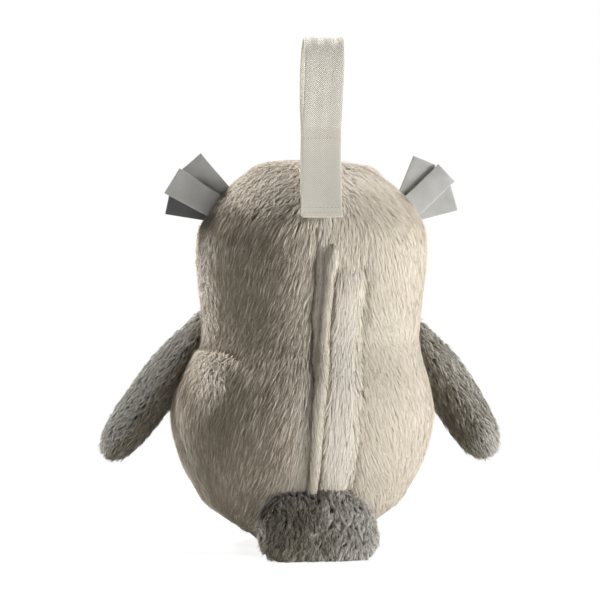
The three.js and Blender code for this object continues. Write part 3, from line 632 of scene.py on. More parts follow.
@dataclass(frozen=True)
class MouldedFinish(Finish):
    """Moulded plastic or plain metal with a faint mottling of colour and gloss."""

    grain: float = 6.0

    def make(self) -> bpy.types.Material:
        """Slow variation of colour and roughness.

        Returns:
            The material.
        """
        material, tree, shader = self.start()
        where = node(tree, "ShaderNodeTexCoord")
        mottle = node(tree, "ShaderNodeTexNoise", links={"Vector": where.outputs["Object"]},
                      Scale=1 / (self.grain * MM), Detail=3.0)
        gloss = node(tree, "ShaderNodeMapRange", links={"Value": mottle.outputs[0]},
                     To_Min=max(self.roughness - 0.06, 0.02), To_Max=self.roughness + 0.06)
        shade = node(tree, "ShaderNodeMapRange", links={"Value": mottle.outputs[0]}, To_Min=0.94, To_Max=1.04)
        self.tint(tree, shader, shade.outputs[0])
        tree.links.new(gloss.outputs[0], shader.inputs["Roughness"])
        return material


# The body's pile is warm and pale; its darker streak colour shows in random streaks and as painted shade on
# the left of the back, in the grooves and round the felt tufts, and its lighter colour as painted light on
# the flap, the crown and the ruffled places
PLUSH = PileFinish("oatmeal_faux_fur", "#ece2d1", sheen=0.12, root="#b8ab98", streak="#918574",
                   light="#faf3e7")
# Wings, tail and feet: grey-brown pile; its almost white light colour shows as painted rim light on the
# wings' outer halves and painted light on the tail's right half
DARK_PLUSH = PileFinish("taupe_faux_fur", "#a69d8a", sheen=0.4, root="#544e43", streak="#5f584c",
                        light="#f2eee6")
# Face and belly: the palest pile, nearly without streaks
PALE_PLUSH = PileFinish("cream_faux_fur", "#f0eae0", sheen=0.12, root="#c9c0b3", streak="#d3cabd",
                        light="#faf7f1")
# The cloth under each pile is dull and darker, so that it reads as shadow between the hairs
BACKING = BackingFinish("oatmeal_backing", "#8d8374")
DARK_BACKING = BackingFinish("taupe_backing", "#3d3a33")
PALE_BACKING = BackingFinish("cream_backing", "#b5ac9f")
# Cut felt: dull, with a faint mottle
FELT = FeltFinish("grey_felt", "#c2c2bf")
DARK_FELT = FeltFinish("dark_grey_felt", "#6a6a6b")
BEAK_FELT = FeltFinish("ochre_felt", "#c9a063")
# Woven cotton: ivory ribs that show as fine slanted lines
WEBBING = WebbingFinish("ivory_webbing", "#ece7da")
THREAD = MouldedFinish("cotton_thread", "#cfc8b8", roughness=0.8, grain=1.5)
# Polished plastic: one sharp highlight
EYE_GLOSS = MouldedFinish("eye_plastic", "#231f1c", roughness=0.12)


# Fur


@dataclass(frozen=True)
class Coat:
    """A coat of fur, in millimetres.

    length is how long a hair is and pile how far it stands off the skin. locks is how many locks grow on a
    square millimetre and hairs how many hairs each has. A lock is across wide and along long at its roots,
    and its hairs close to pinch of that width at their tips. round is the roll of its outer hairs and wander
    the turn of whole locks, both in degrees. contrast is how far the locks differ in tone, droop how far
    the tips sink, and floor says that the floor stops them.

    The real fibres are about 0.03 mm thick, too fine to show, so each hair here stands for a small bunch.
    """

    length: float = 10.5
    pile: float = 2.6
    locks: float = 0.66
    hairs: int = 6
    hair_width: float = 0.34
    across: float = 1.35
    along: float = 3.0
    pinch: float = 0.5
    round: float = 42.0
    wander: float = 4.5
    contrast: float = 0.8
    droop: float = 0.35
    floor: bool = False


def ones(points: Array, out: Array) -> Array:
    """One at every place."""
    return np.ones(len(points))


def zeros(points: Array, out: Array) -> Array:
    """Zero at every place."""
    return np.zeros(len(points))


@dataclass(frozen=True)
class Groom:
    """How a coat lies; each field reads places and outward directions, in millimetres.

    comb gives the direction, keep the share of roots, trim the share of the length, tone the shade, spread
    the share of the contrast between locks, curl how ruffled they are, and parts the piece that each
    belongs to.
    """

    comb: Field
    keep: Field = ones
    trim: Field = ones
    tone: Field = zeros
    spread: Field = ones
    curl: Field = zeros
    parts: Field = zeros


@dataclass
class Roots:
    """Where locks start: their places and outward directions, in millimetres."""

    place: Array
    out: Array


def sorted_corners(corner: Array) -> Array:
    """Triangles in one fixed order, because a primitive sphere lists its faces in another order each time.

    Args:
        corner: the numbers of each triangle's corners.

    Returns:
        The triangles, each from its lowest corner on, sorted by their corners.
    """
    lowest = corner.argmin(axis=1)[:, None]
    turned = np.take_along_axis(corner, (lowest + np.arange(3)) % 3, axis=1)
    return turned[np.lexsort(turned.T[::-1])]


def scatter(skin: bpy.types.Object, density: float, rng: np.random.Generator) -> Roots:
    """Spreads root places evenly over a mesh.

    Args:
        skin: the mesh that carries the fur.
        density: roots to a square millimetre.
        rng: the seeded generator.

    Returns:
        The roots.
    """
    mesh = skin.data
    mesh.calc_loop_triangles()
    corner = np.empty(len(mesh.loop_triangles) * 3, np.int64)
    mesh.loop_triangles.foreach_get("vertices", corner)
    corner = sorted_corners(corner.reshape(-1, 3))
    points = coordinates(skin) / MM
    normals = np.empty(len(mesh.vertices) * 3)
    mesh.vertex_normals.foreach_get("vector", normals)
    normals = normals.reshape(-1, 3)
    a, b, c = (points[corner[:, k]] for k in range(3))
    area = np.linalg.norm(np.cross(b - a, c - a), axis=1) / 2
    total = np.cumsum(area)
    count = int(total[-1] * density)
    pick = np.searchsorted(total, (np.arange(count) + rng.random(count)) / count * total[-1])
    pick = np.minimum(pick, len(area) - 1)
    r1, r2 = np.sqrt(rng.random(count)), rng.random(count)
    share = np.column_stack([1 - r1, r1 * (1 - r2), r1 * r2])[:, :, None]
    tri = corner[pick]
    return Roots((points[tri] * share).sum(1), unit((normals[tri] * share).sum(1)))


@dataclass
class Locks:
    """One row for each lock: its start, its directions, its size in millimetres and its look."""

    place: Array
    out: Array
    lay: Array
    side: Array
    rise: Array
    reach: Array
    tone: Array
    uneven: Array
    curl: Array


@dataclass
class Fur:
    """Grows locks of hair on a skin and makes them meshes of thin, tapered blades.

    Neighbouring locks turn together by swirl degrees and share a slow mottle of the tone, in waves of
    swirl_size and mottle_size millimetres. limit is the most hairs in one piece: with three triangles to a
    hair, it keeps each piece under 200,000.
    """

    coat: Coat
    finish: bpy.types.Material
    seed: int
    limit: int = 62000
    swirl: float = 5.0
    swirl_size: float = 38.0
    mottle: float = 0.05
    mottle_size: float = 46.0
    floor_height: float = 0.3

    def grow(self, name: str, skin: bpy.types.Object, groom: Groom) -> list[bpy.types.Object]:
        """Covers a skin with fur.

        Args:
            name: the first part of the pieces' names.
            skin: the mesh that carries the fur.
            groom: how the coat lies.

        Returns:
            The fur pieces.
        """
        rng = np.random.default_rng(self.seed)
        roots = scatter(skin, self.coat.locks, rng)
        held = rng.random(len(roots.place)) < groom.keep(roots.place, roots.out)
        roots = Roots(roots.place[held], roots.out[held])
        points, tones, soft = self.blades(self.lay_locks(roots, groom, rng), rng)
        group = np.repeat(groom.parts(roots.place, roots.out), self.coat.hairs)
        made = []
        for number in np.unique(group):
            chosen = np.flatnonzero(group == number)
            for start in range(0, len(chosen), self.limit):
                piece = chosen[start:start + self.limit]
                made.append(self.mesh(f"{name}_{len(made) + 1}", points[piece], tones[piece], soft[piece]))
        return made

    def lay_locks(self, roots: Roots, groom: Groom, rng: np.random.Generator) -> Locks:
        """Works out how each lock lies and looks.

        Args:
            roots: where the locks start.
            groom: how the coat lies.
            rng: the seeded generator.

        Returns:
            The locks.
        """
        coat, spots, outs = self.coat, roots.place, roots.out
        count = len(spots)
        size, curl = groom.trim(spots, outs), groom.curl(spots, outs)
        lay = groom.comb(spots, outs)
        lay = unit(lay - outs * (lay * outs).sum(1, keepdims=True))
        side = np.cross(lay, outs)
        shared = ripple(spots, self.swirl_size, self.seed + 7) * self.swirl
        turn = np.radians(rng.normal(0, coat.wander, count) * (1 + 6 * curl) + shared)
        lay = lay * np.cos(turn)[:, None] + side * np.sin(turn)[:, None]
        side = np.cross(lay, outs)
        tone = 0.5 + groom.tone(spots, outs) + ripple(spots, self.mottle_size, self.seed + 3) * self.mottle
        spread = groom.spread(spots, outs)
        tone = tone + rng.normal(0, 0.2, count) * coat.contrast * spread
        uneven = 0.35 + 0.65 * np.clip(spread, 0, 1)
        rise = coat.pile * (1 + rng.uniform(-0.25, 0.2, count) * uneven) * (0.45 + 0.55 * size)
        reach = coat.length * rng.uniform(0.6, 1.3, count) * size * (1 - 0.45 * curl)
        return Locks(spots, outs, lay, side, rise * (1 + 0.5 * curl), reach, tone, uneven, curl)

    def blades(self, locks: Locks, rng: np.random.Generator) -> tuple[Array, Array, Array]:
        """Fans each lock out into its hairs.

        Args:
            locks: the locks.
            rng: the seeded generator.

        Returns:
            For each hair its five points, its tone and how little painted shade darkens it towards its root.
        """
        coat = self.coat

        def each(values: Array) -> Array:
            """Repeats a lock's values for its hairs."""
            return np.repeat(values, coat.hairs, axis=0)

        many = len(locks.place) * coat.hairs
        base, out, lay, side = each(locks.place), each(locks.out), each(locks.lay), each(locks.side)
        uneven = each(locks.uneven)
        fore = rng.uniform(-0.5, 0.5, many) * coat.along
        spot = rng.uniform(-1, 1, many)
        wide = spot * coat.across / 2
        reach = each(locks.reach) * rng.uniform(0.8, 1.15, many)
        rise = each(locks.rise) * rng.uniform(0.85, 1.05, many) * (1 - 0.3 * spot ** 2)
        roll = np.radians(rng.normal(0, 7, many) - spot * coat.round * uneven)
        flat = side * np.cos(roll)[:, None] + out * np.sin(roll)[:, None]
        half = coat.hair_width / 2 * rng.uniform(0.7, 1.25, many)
        tones = each(locks.tone) + rng.normal(0, 0.05, many)
        drop = 1 - coat.droop * rng.uniform(0, 2, many) * (1 - each(locks.curl))
        levels = []
        for share, lift, close in ((0.0, -0.25, 1.0), (0.4, 0.9, 0.8), (1.0, drop, coat.pinch)):
            levels.append(base + lay * (fore + reach * share)[:, None] + side * (wide * close)[:, None]
                          + out * (rise * lift)[:, None])
        root, middle, tip = levels
        edge = flat * half[:, None]
        narrower = edge * 0.85
        points = np.stack([root - edge, root + edge, middle - narrower, middle + narrower, tip], axis=1)
        if coat.floor:
            points[:, :, 2] = np.maximum(points[:, :, 2], self.floor_height)
        return points, tones, 1 - uneven

    def mesh(self, name: str, points: Array, tones: Array, soft: Array) -> bpy.types.Object:
        """Makes one piece of fur.

        Args:
            name: the piece's name.
            points: five points for each hair, in millimetres.
            tones: each hair's tone.
            soft: how little painted shade darkens each hair towards its root, from 0 to 1.

        Returns:
            The new object.
        """
        count = len(points)
        first = np.arange(count)[:, None, None] * 5
        blade = np.array([[1, 0, 2], [1, 2, 3], [3, 2, 4]])[None]
        faces = (first + blade).reshape(-1, 3)
        mesh = bpy.data.meshes.new(name)
        mesh.from_pydata((points.reshape(-1, 3) * MM).astype(np.float32), [], faces)
        # How far each point has come out of the painted root shade.
        low, middle = 0.5 * soft, 0.42 + 0.38 * soft
        tips = np.stack([low, low, middle, middle, np.ones(count)], axis=1).ravel()
        for key, values in (("tone", np.repeat(tones, 5)), ("tip", tips)):
            made = mesh.attributes.new(key, "FLOAT", "POINT")
            made.data.foreach_set("value", values.astype(np.float32))
        side = math.ceil(math.sqrt(count))
        cell = np.column_stack([np.arange(count) % side, np.arange(count) // side])
        corners = np.array([[0.15, 0.1], [0.85, 0.1], [0.2, 0.5], [0.8, 0.5], [0.5, 0.9]])
        flat = (cell[:, None, :] + corners[None]).reshape(-1, 2) / side
        layer = mesh.uv_layers.new(name="OFBake")
        layer.data.foreach_set("uv", flat[faces.ravel()].astype(np.float32).ravel())
        mesh.materials.append(self.finish)
        mesh.polygons.foreach_set("use_smooth", np.ones(len(faces), bool))
        obj = bpy.data.objects.new(name, mesh)
        bpy.context.scene.collection.objects.link(obj)
        return obj


# Sub-assemblies


@dataclass
class Palette:
    """The finishes, each made once."""

    made: dict[str, bpy.types.Material] = field(default_factory=dict)

    def get(self, finish: Finish) -> bpy.types.Material:
        """The material of a finish."""
        if finish.name not in self.made:
            self.made[finish.name] = finish.make()
        return self.made[finish.name]


PALETTE = Palette()


def dress(obj: bpy.types.Object, finish: Finish) -> None:
    """Gives a piece one finish all over."""
    obj.data.materials.clear()
    obj.data.materials.append(PALETTE.get(finish))


def settle(obj: bpy.types.Object, body: Body, slot: str, *nodes: str) -> None:
    """Puts a finished piece on its body.

    Args:
        obj: the piece.
        body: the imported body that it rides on.
        slot: the record's material slot.
        *nodes: the CAD nodes that it stands for.
    """
    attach(obj, body.value)
    finish_piece(obj, slot, *nodes)


def join(obj: bpy.types.Object, body: Body, start: Array, end: Array, slot: str, *nodes: str) -> None:
    """Bakes a finished piece's place into its mesh, hides its CAD nodes and logs it.

    Args:
        obj: the piece.
        body: not used.
        start: a point on the toy's side of the joint, in millimetres; it is only converted to metres.
            end: a point on the body's side of the joint; it is only converted to metres.
        slot: the record's material slot.
        *nodes: the CAD nodes that it stands for.
    """
    start, end = (tuple(np.array(at) * MM) for at in (start, end))
    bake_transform(obj)
    finish_piece(obj, slot, *nodes)


def finish_piece(obj: bpy.types.Object, slot: str, *nodes: str) -> None:
    """Hides the CAD nodes that a piece stands for, and logs the piece.

    Args:
        obj: the piece.
        slot: not used.
        *nodes: the CAD nodes that it stands for.
    """
    if nodes:
        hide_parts(*nodes)
    LOG.info("%s: %d faces", obj.name, len(obj.data.polygons))


def settle_furred(skin: bpy.types.Object, fur: list[bpy.types.Object], body: Body, slot: str,
                  cad: str) -> None:
    """Puts a skin and its fur on their body.

    Args:
        skin: the backing, which stands for the CAD node.
        fur: its fur pieces.
        body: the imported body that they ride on.
        slot: the record's material slot.
        cad: the CAD node's name.
    """
    settle(skin, body, slot, cad)
    for piece in fur:
        settle(piece, body, slot)


def join_furred(skin: bpy.types.Object, fur: list[bpy.types.Object], body: Body, start: Array, end: Array,
                slot: str, cad: str) -> None:
    """Puts a skin and its fur across the joint between the toy and a body.

    Args:
        skin: the backing, which stands for the CAD node.
        fur: its fur pieces.
        body: the body that moves.
        start: a point on the toy's side of the joint, in millimetres, passed on to join.
            end: a point on the body's side of the joint, passed on to join.
        end: where they follow the body.
        slot: the record's material slot.
        cad: the CAD node's name.
    """
    join(skin, body, start, end, slot, cad)
    for piece in fur:
        join(piece, body, start, end, slot)


@dataclass
class BodyCoat:
    """The fur fabric of head and body, with the closure's well, the seams and the waist crease in it."""

    segments: int = 220
    rings: int = 160
    crowd: float = 0.72
    skin_depth: float = 2.6
    well_depth: float = 9.0
    seam_depth: float = 2.6
    seam_width: float = 1.6
    face_lap: float = 6.0
    belly_lap: float = 4.0
    seed: int = 11

    @staticmethod
    def across_flap(x: Array, z: Array) -> Array:
        """One where a place lies in the closure's slot, zero beyond its edges."""
        return (smooth(LINES.bottom - 1.5, LINES.bottom, z)
                * (1 - smooth(LINES.top + 0.2, LINES.top + 1.2, z))
                * smooth(-LINES.hinge_gap - 0.6, -LINES.hinge_gap + 0.2, x - LINES.hinge(z))
                * (1 - smooth(LINES.free_gap - 0.4, LINES.free_gap + 0.6, x - LINES.free(z))))

    @staticmethod
    def groove(x: Array, z: Array, width: float = 1.15) -> Array:
        """The deep seam beside the hem, from the strap's foot down, wavering a little."""
        waver = 0.5 * np.sin(z * 0.21) + 0.35 * np.sin(z * 0.083 + 1)
        ends = smooth(38, 46, z) * (1 - smooth(203, 213, z)) * (0.5 + 0.5 * smooth(92, 128, z))
        return bump(x, LINES.seam(z) + waver, width) * ends

    @staticmethod
    def beside_hem(x: Array, z: Array) -> Array:
        """One on the strip of fur between the hem and the seam."""
        near = LINES.free_gap + LINES.hem_setback + LINES.hem_width
        return smooth(near - 2, near, x - LINES.free(z)) * (1 - smooth(-2.2, -0.7, x - LINES.seam(z)))

    @staticmethod
    def pucker(x: Array, z: Array) -> Array:
        """Small gathers beside the flap's sewn edge, deepest at its top corner."""
        line = LINES.hinge(z) - 3.6 + 0.9 * np.sin(z * 0.31)
        window = smooth(140, 150, z) * (1 - smooth(176, 182, z))
        gathers = 0.7 * bump(x, line, 1.0) * window
        return gathers + 1.6 * bump(x, LINES.hinge(z) - 0.8, 2.2) * bump(z, 182.5, 2.4)

    @staticmethod
    def fold_height(x: Array) -> Array:
        """How high the waist's fold lies: it sinks to both sides."""
        return 129 - 0.014 * (x - 64) ** 2

    def waist(self, x: Array, z: Array) -> Array:
        """The fold across the left of the waist: a dip with a soft roll under it."""
        line = self.fold_height(x) + 0.5 * np.sin(x * 0.4)
        span = smooth(38, 58, x) * (1 - smooth(60, 76, x))
        return (2.2 * bump(z, line, 2.6) - 2.0 * bump(z, line - 8, 6.0)) * span

    def relief(self, points: Array) -> Array:
        """How far the skin stands proud of, or below, its even depth.

        Args:
            points: places on the form.

        Returns:
            Millimetres outwards.
        """
        x, z = points[:, 0], points[:, 2]
        drop = (self.well_depth - self.skin_depth) * self.across_flap(x, z)
        seam = self.seam_depth * self.groove(x, z, self.seam_width)
        drop = drop + seam + self.pucker(x, z) + self.waist(x, z)
        return np.where(points[:, 1] > 0, -drop, 0)

    def skin(self) -> bpy.types.Object:
        """The backing cloth, closer meshed along the middle of the back."""

        def mapping(sphere: Array) -> Array:
            """Wraps the unit sphere onto the pear."""
            along, turn = polar(sphere)
            away = (turn - math.pi / 2 + math.pi) % (2 * math.pi) - math.pi
            turn = math.pi / 2 + away - self.crowd * np.sin(away)
            points, out = PEAR.point(along, turn), PEAR.normal(along, turn)
            points = points + out * (self.relief(points) - self.skin_depth)[:, None]
            points[:, 2] = np.maximum(points[:, 2], 0.4)
            return points

        obj = sphere_form("body_backing", self.segments, self.rings, mapping)
        dress(obj, BACKING)
        return obj

    def comb(self, points: Array, out: Array) -> Array:
        """Combed down and away from the closure; vertical beside it, and out from the strap on the crown."""
        x, z = points[:, 0] - LINES.free(points[:, 2]), points[:, 2]
        away = np.clip((np.abs(x) - 5) / 26, 0, 1) * np.sign(x) * np.where(points[:, 1] > 0, 1, 0.3)
        lean = np.where(x > 0, 0.44, 0.55) * away
        crown = smooth(205, 232, z) * np.where(points[:, 1] > 0, 1, 0)
        lean = lean + crown * 0.9 * np.clip((points[:, 0] + 3) / 18, -1, 1)
        return np.column_stack([lean, 0.15 * np.ones(len(points)), -np.ones(len(points))])

    @staticmethod
    def behind(points: Array, middle: tuple[float, float], half: tuple[float, float], lap: float) -> Array:
        """Whether points lie behind a front panel, further in than its overlap."""
        across = (points[:, 0] - middle[0]) / (half[0] - lap)
        up = (points[:, 2] - middle[1]) / (half[1] - lap)
        return np.hypot(across, up) < 1

    def keep(self, points: Array, out: Array) -> Array:
        """No fur in the closure's well, under the front's panels or on the sole; thinner on the front."""
        x, z, back = points[:, 0], points[:, 2], points[:, 1] > 0
        well = (back & (z > LINES.bottom - 1) & (z < LINES.top + 0.4)
                & (x > LINES.hinge(z) - LINES.hinge_gap) & (x < LINES.free(z) + LINES.free_gap + 0.3))
        seam = back & (self.groove(x, z) > 0.7)
        face = self.behind(points, (PEAR.head_shift, FACE_HEIGHT), FACE_HALF, self.face_lap)
        belly = self.behind(points, (PEAR.belly_shift, BELLY_HEIGHT), BELLY_HALF, self.belly_lap)
        bare = well | seam | (~back & (face | belly))
        return np.where(bare, 0.0, np.where(back, 1.0, 0.62) * np.where(out[:, 2] < -0.85, 0.2, 1.0))

    def trim(self, points: Array, out: Array) -> Array:
        """Shorter beside the seam and the hem."""
        x, z = points[:, 0], points[:, 2]
        back = (points[:, 1] > 0) & (z > 42) & (z < 205)
        near = (0.15 + 0.25 * smooth(150, 170, z)) * self.beside_hem(x, z)
        near = near + 0.3 * bump(x, LINES.hinge(z) - 1.5, 2.2)
        return np.where(back, 1 - np.clip(near, 0, 1), 1.0)

    def shaded(self, points: Array) -> Array:
        """Painted shade: one on the left half of the back, less near the seam low down and at the lower left
        rim, fading to the crown and the left side above the waist; zero elsewhere.
        """
        x, z = points[:, 0], points[:, 2]
        away = x - LINES.seam(z) - 8 * (1 - smooth(35, 75, z)) - 3 * (1 - smooth(80, 130, z))
        # Less painted shade at the lower left rim, standing in for rim light there.
        rim = smooth(0.82, 0.98, (x - PEAR.belly_shift) / PEAR.width_at(z)) * (1 - smooth(90, 110, z))
        half = smooth(1, 25, away) * (1 - smooth(60, 88, x) * smooth(126, 138, z)) * (1 - smooth(214, 236, z))
        half = half * (1 - 0.7 * rim)
        return np.where(points[:, 1] > 0, half, 0)

    @staticmethod
    def streaked(points: Array) -> Array:
        """One beside the seam, where the locks part clearly, less towards the left side."""
        away = points[:, 0] - LINES.seam(points[:, 2])
        return np.where(points[:, 1] > 0, smooth(-1, 5, away) * (1 - 0.55 * smooth(32, 50, away)), 0)

    def ruffle_and_painted_light(self, points: Array, out: Array) -> Array:
        """Ruffled fur, which the tone also makes paler as painted light: along the head's left side, under
        the waist's fold and on the crown.
        """
        x, z = points[:, 0], points[:, 2]
        flank = smooth(0.8, 0.95, out[:, 0]) * smooth(132, 142, z) * (1 - smooth(205, 215, z))
        line = self.fold_height(x)
        under = (smooth(48, 60, x + (z - 118) * 0.35) * (1 - smooth(70, 77, x)) * smooth(-42, -14, z - line)
                 * (1 - smooth(-3, 0, z - line)) * (points[:, 1] > -5))
        crown = smooth(210, 224, z) * smooth(-30, -10, x) * 0.7
        return np.clip(flank + under + crown, 0, 1)

    def tone(self, points: Array, out: Array) -> Array:
        """Painted shade in the grooves, the gathers, round the felt tufts' roots and over the left half of
        the back; painted light beside the hem, beside the seam low down, on the ruffled places and on the
        crown.
        """
        x, z, back = points[:, 0], points[:, 2], points[:, 1] > 0
        # Painted shade in the deep seam and in the gathers by the flap.
        deep = np.where(back, 0.8 * self.groove(x, z, 1.7) + 0.25 * self.pucker(x, z), 0)
        # Painted light on the strip beside the hem, more towards the top, where the hem's shadow falls.
        high = smooth(158, 172, z)
        deep = deep - np.where(back, (0.15 + 0.25 * high) * self.beside_hem(x, z), 0)
        # Painted shadow round the roots of the felt tufts.
        felt_root_shadow = bump(x, 50, 8) * bump(z, 214, 9) + bump(x, -57, 6) * bump(z, 229, 5)
        lit_edge = bump(x, LINES.seam(z) + 5.5, 4) * (1 - smooth(95, 125, z))
        deep = deep + np.where(back, 0.6 * felt_root_shadow - 0.36 * lit_edge, 0)
        # Painted light on the top of the crown.
        crown = 0.3 * smooth(232, 246, z)
        # Painted shade over the left half of the back, painted light on the ruffled places.
        return 0.1 - 0.54 * self.shaded(points) - deep + 0.6 * self.ruffle_and_painted_light(points, out) + crown

    def spread(self, points: Array, out: Array) -> Array:
        """Clear streaks on the left half, an even surface on the right."""
        strip = np.where(points[:, 1] > 0, self.beside_hem(points[:, 0], points[:, 2]), 0)
        return 0.12 + 1.45 * self.streaked(points) + 0.7 * self.ruffle_and_painted_light(points, out) + 0.4 * strip

    def parts(self, points: Array, out: Array) -> Array:
        """Splits the coat into sectors."""
        turn = np.arctan2(points[:, 1], points[:, 0])
        return ((turn + math.pi) / (2 * math.pi) * 5.999).astype(int)

    def build(self) -> None:
        """Makes the backing and its fur."""
        skin = self.skin()
        groom = Groom(self.comb, self.keep, self.trim, self.tone, self.spread, self.ruffle_and_painted_light, self.parts)
        fur = Fur(Coat(locks=0.8, floor=True), PALETTE.get(PLUSH), self.seed).grow("body_fur", skin, groom)
        settle_furred(skin, fur, Body.TOY, "plush", "body_cover")


@dataclass
class Pad:
    """A stuffed, furry pad round a straight spine: wing, tail or foot. Millimetres."""

    name: str
    start: Array
    end: Array
    across: Array
    through: Array
    half_width: float
    half_thickness: float
    power: float
    widths: Sequence[tuple[float, float]]
    thicks: Sequence[tuple[float, float]]
    inset: float = 2.4
    segments: int = 48
    rings: int = 48

    def skin(self) -> bpy.types.Object:
        """The pad's backing cloth."""
        wide, thick = curve_through(self.widths, 300), curve_through(self.thicks, 300)

        def mapping(sphere: Array) -> Array:
            """Wraps the unit sphere round the spine."""
            share, turn = polar(sphere)
            along = (1 - np.cos(share * math.pi)) / 2
            spine = self.end - self.start
            length = np.linalg.norm(spine)
            shrunk = self.inset / length + along * (1 - 2 * self.inset / length)
            half_w = np.interp(along, wide[:, 0], wide[:, 1]) * (self.half_width - self.inset)
            half_t = np.interp(along, thick[:, 0], thick[:, 1]) * (self.half_thickness - self.inset)
            centre = self.start + shrunk[:, None] * spine
            points = (centre + (half_w * rounded(np.cos(turn), self.power))[:, None] * self.across
                      + (half_t * rounded(np.sin(turn), self.power))[:, None] * self.through)
            points[:, 2] = np.maximum(points[:, 2], 0.5)
            return points

        obj = sphere_form(f"{self.name}_backing", self.segments, self.rings, mapping)
        volume(obj)
        return obj


def volume(obj: bpy.types.Object) -> None:
    """Turns a closed mesh's faces outwards."""
    only(obj)
    bpy.ops.object.mode_set(mode="EDIT")
    bpy.ops.mesh.select_all(action="SELECT")
    bpy.ops.mesh.normals_make_consistent(inside=False)
    bpy.ops.object.mode_set(mode="OBJECT")


WING_OUTLINE = [(0, 0), (0.02, 0.42), (0.1, 0.56), (0.18, 0.7), (0.32, 0.92), (0.49, 1), (0.69, 0.97),
                (0.845, 0.87), (0.945, 0.61), (0.986, 0.32), (1, 0)]
TAIL_OUTLINE = [(0, 0), (0.012, 0.46), (0.1, 0.7), (0.22, 0.86), (0.42, 0.97), (0.65, 1), (0.84, 0.93),
                (0.95, 0.74), (0.99, 0.45), (1, 0)]
TAIL_THICK = [(0, 0), (0.012, 0.5), (0.1, 0.72), (0.35, 0.95), (0.65, 1), (0.86, 0.85), (0.955, 0.6),
              (0.99, 0.35), (1, 0)]
FOOT_OUTLINE = [(0, 0), (0.03, 0.4), (0.25, 0.7), (0.55, 0.95), (0.8, 1), (0.94, 0.75), (1, 0)]
FOOT_THICK = [(0, 0), (0.03, 0.7), (0.25, 0.98), (0.55, 1), (0.8, 0.9), (0.94, 0.62), (1, 0)]


@dataclass
class Wing:
    """A wing: a padded flipper of dark fur, sewn into the side seam."""

    side: Side
    height: float
    length: float
    droop: float
    half_width: float
    seed: int
    # How much paler the outer half is, as painted rim light.
    painted_rim_light: float
    root_inset: float = 7.0
    half_thickness: float = 10.0
    bend_start: float = 6.0
    bend_end: float = 24.0

    def build(self) -> None:
        """Makes the wing's pad and fur."""
        sign = self.side.value
        name = f"{self.side.name.lower()}_wing"
        root_x = float(PEAR.lean(np.array(self.height)) + sign * PEAR.width_at(np.array(self.height)))
        start = np.array([root_x - sign * self.root_inset, 0, self.height])
        angle = math.radians(self.droop)
        spine = np.array([sign * math.cos(angle), 0, -math.sin(angle)])
        across = np.array([-spine[2], 0, spine[0]]) * sign
        pad = Pad(name, start, start + spine * self.length, across, np.array([0, 1.0, 0]), self.half_width,
                  self.half_thickness, 1.3, WING_OUTLINE, WING_OUTLINE)
        skin = pad.skin()
        dress(skin, DARK_BACKING)
        coat = Coat(length=6.0, pile=2.0, locks=0.7, hair_width=0.36, across=1.4, along=2.4)

        def comb(points: Array, out: Array) -> Array:
            """Towards the tip, fanning a little to the edges."""
            return np.tile(spine, (len(points), 1)) + 0.25 * out * [1, 0, 1]

        def outer(points: Array) -> Array:
            """From -1 on the inner edge to 1 on the outer edge."""
            return np.clip(((points - start) @ across) / self.half_width, -1, 1)

        def tone(points: Array, out: Array) -> Array:
            """Painted rim light on the outer half and painted shade where the inner half starts; paler at the
            right wing's tip.
            """
            near = outer(points)
            tip = 0.45 * smooth(0.72, 0.95, ((points - start) @ spine) / self.length) * (sign < 0)
            return self.painted_rim_light * smooth(-0.15, 0.4, near) - 0.25 * (1 - smooth(-0.7, 0, near)) + tip

        def curl(points: Array, out: Array) -> Array:
            """Ruffled along the middle."""
            return 0.35 * bump(outer(points), 0.1, 0.4)

        groom = Groom(comb, tone=tone, curl=curl)
        fur = Fur(coat, PALETTE.get(DARK_PLUSH), self.seed).grow(f"{name}_fur", skin, groom)
        body = Body.LEFT_WING if self.side is Side.LEFT else Body.RIGHT_WING
        surface = np.array([root_x, 0, self.height])
        join_furred(skin, fur, body, surface + spine * self.bend_start, surface + spine * self.bend_end,
                    "dark_plush", name)


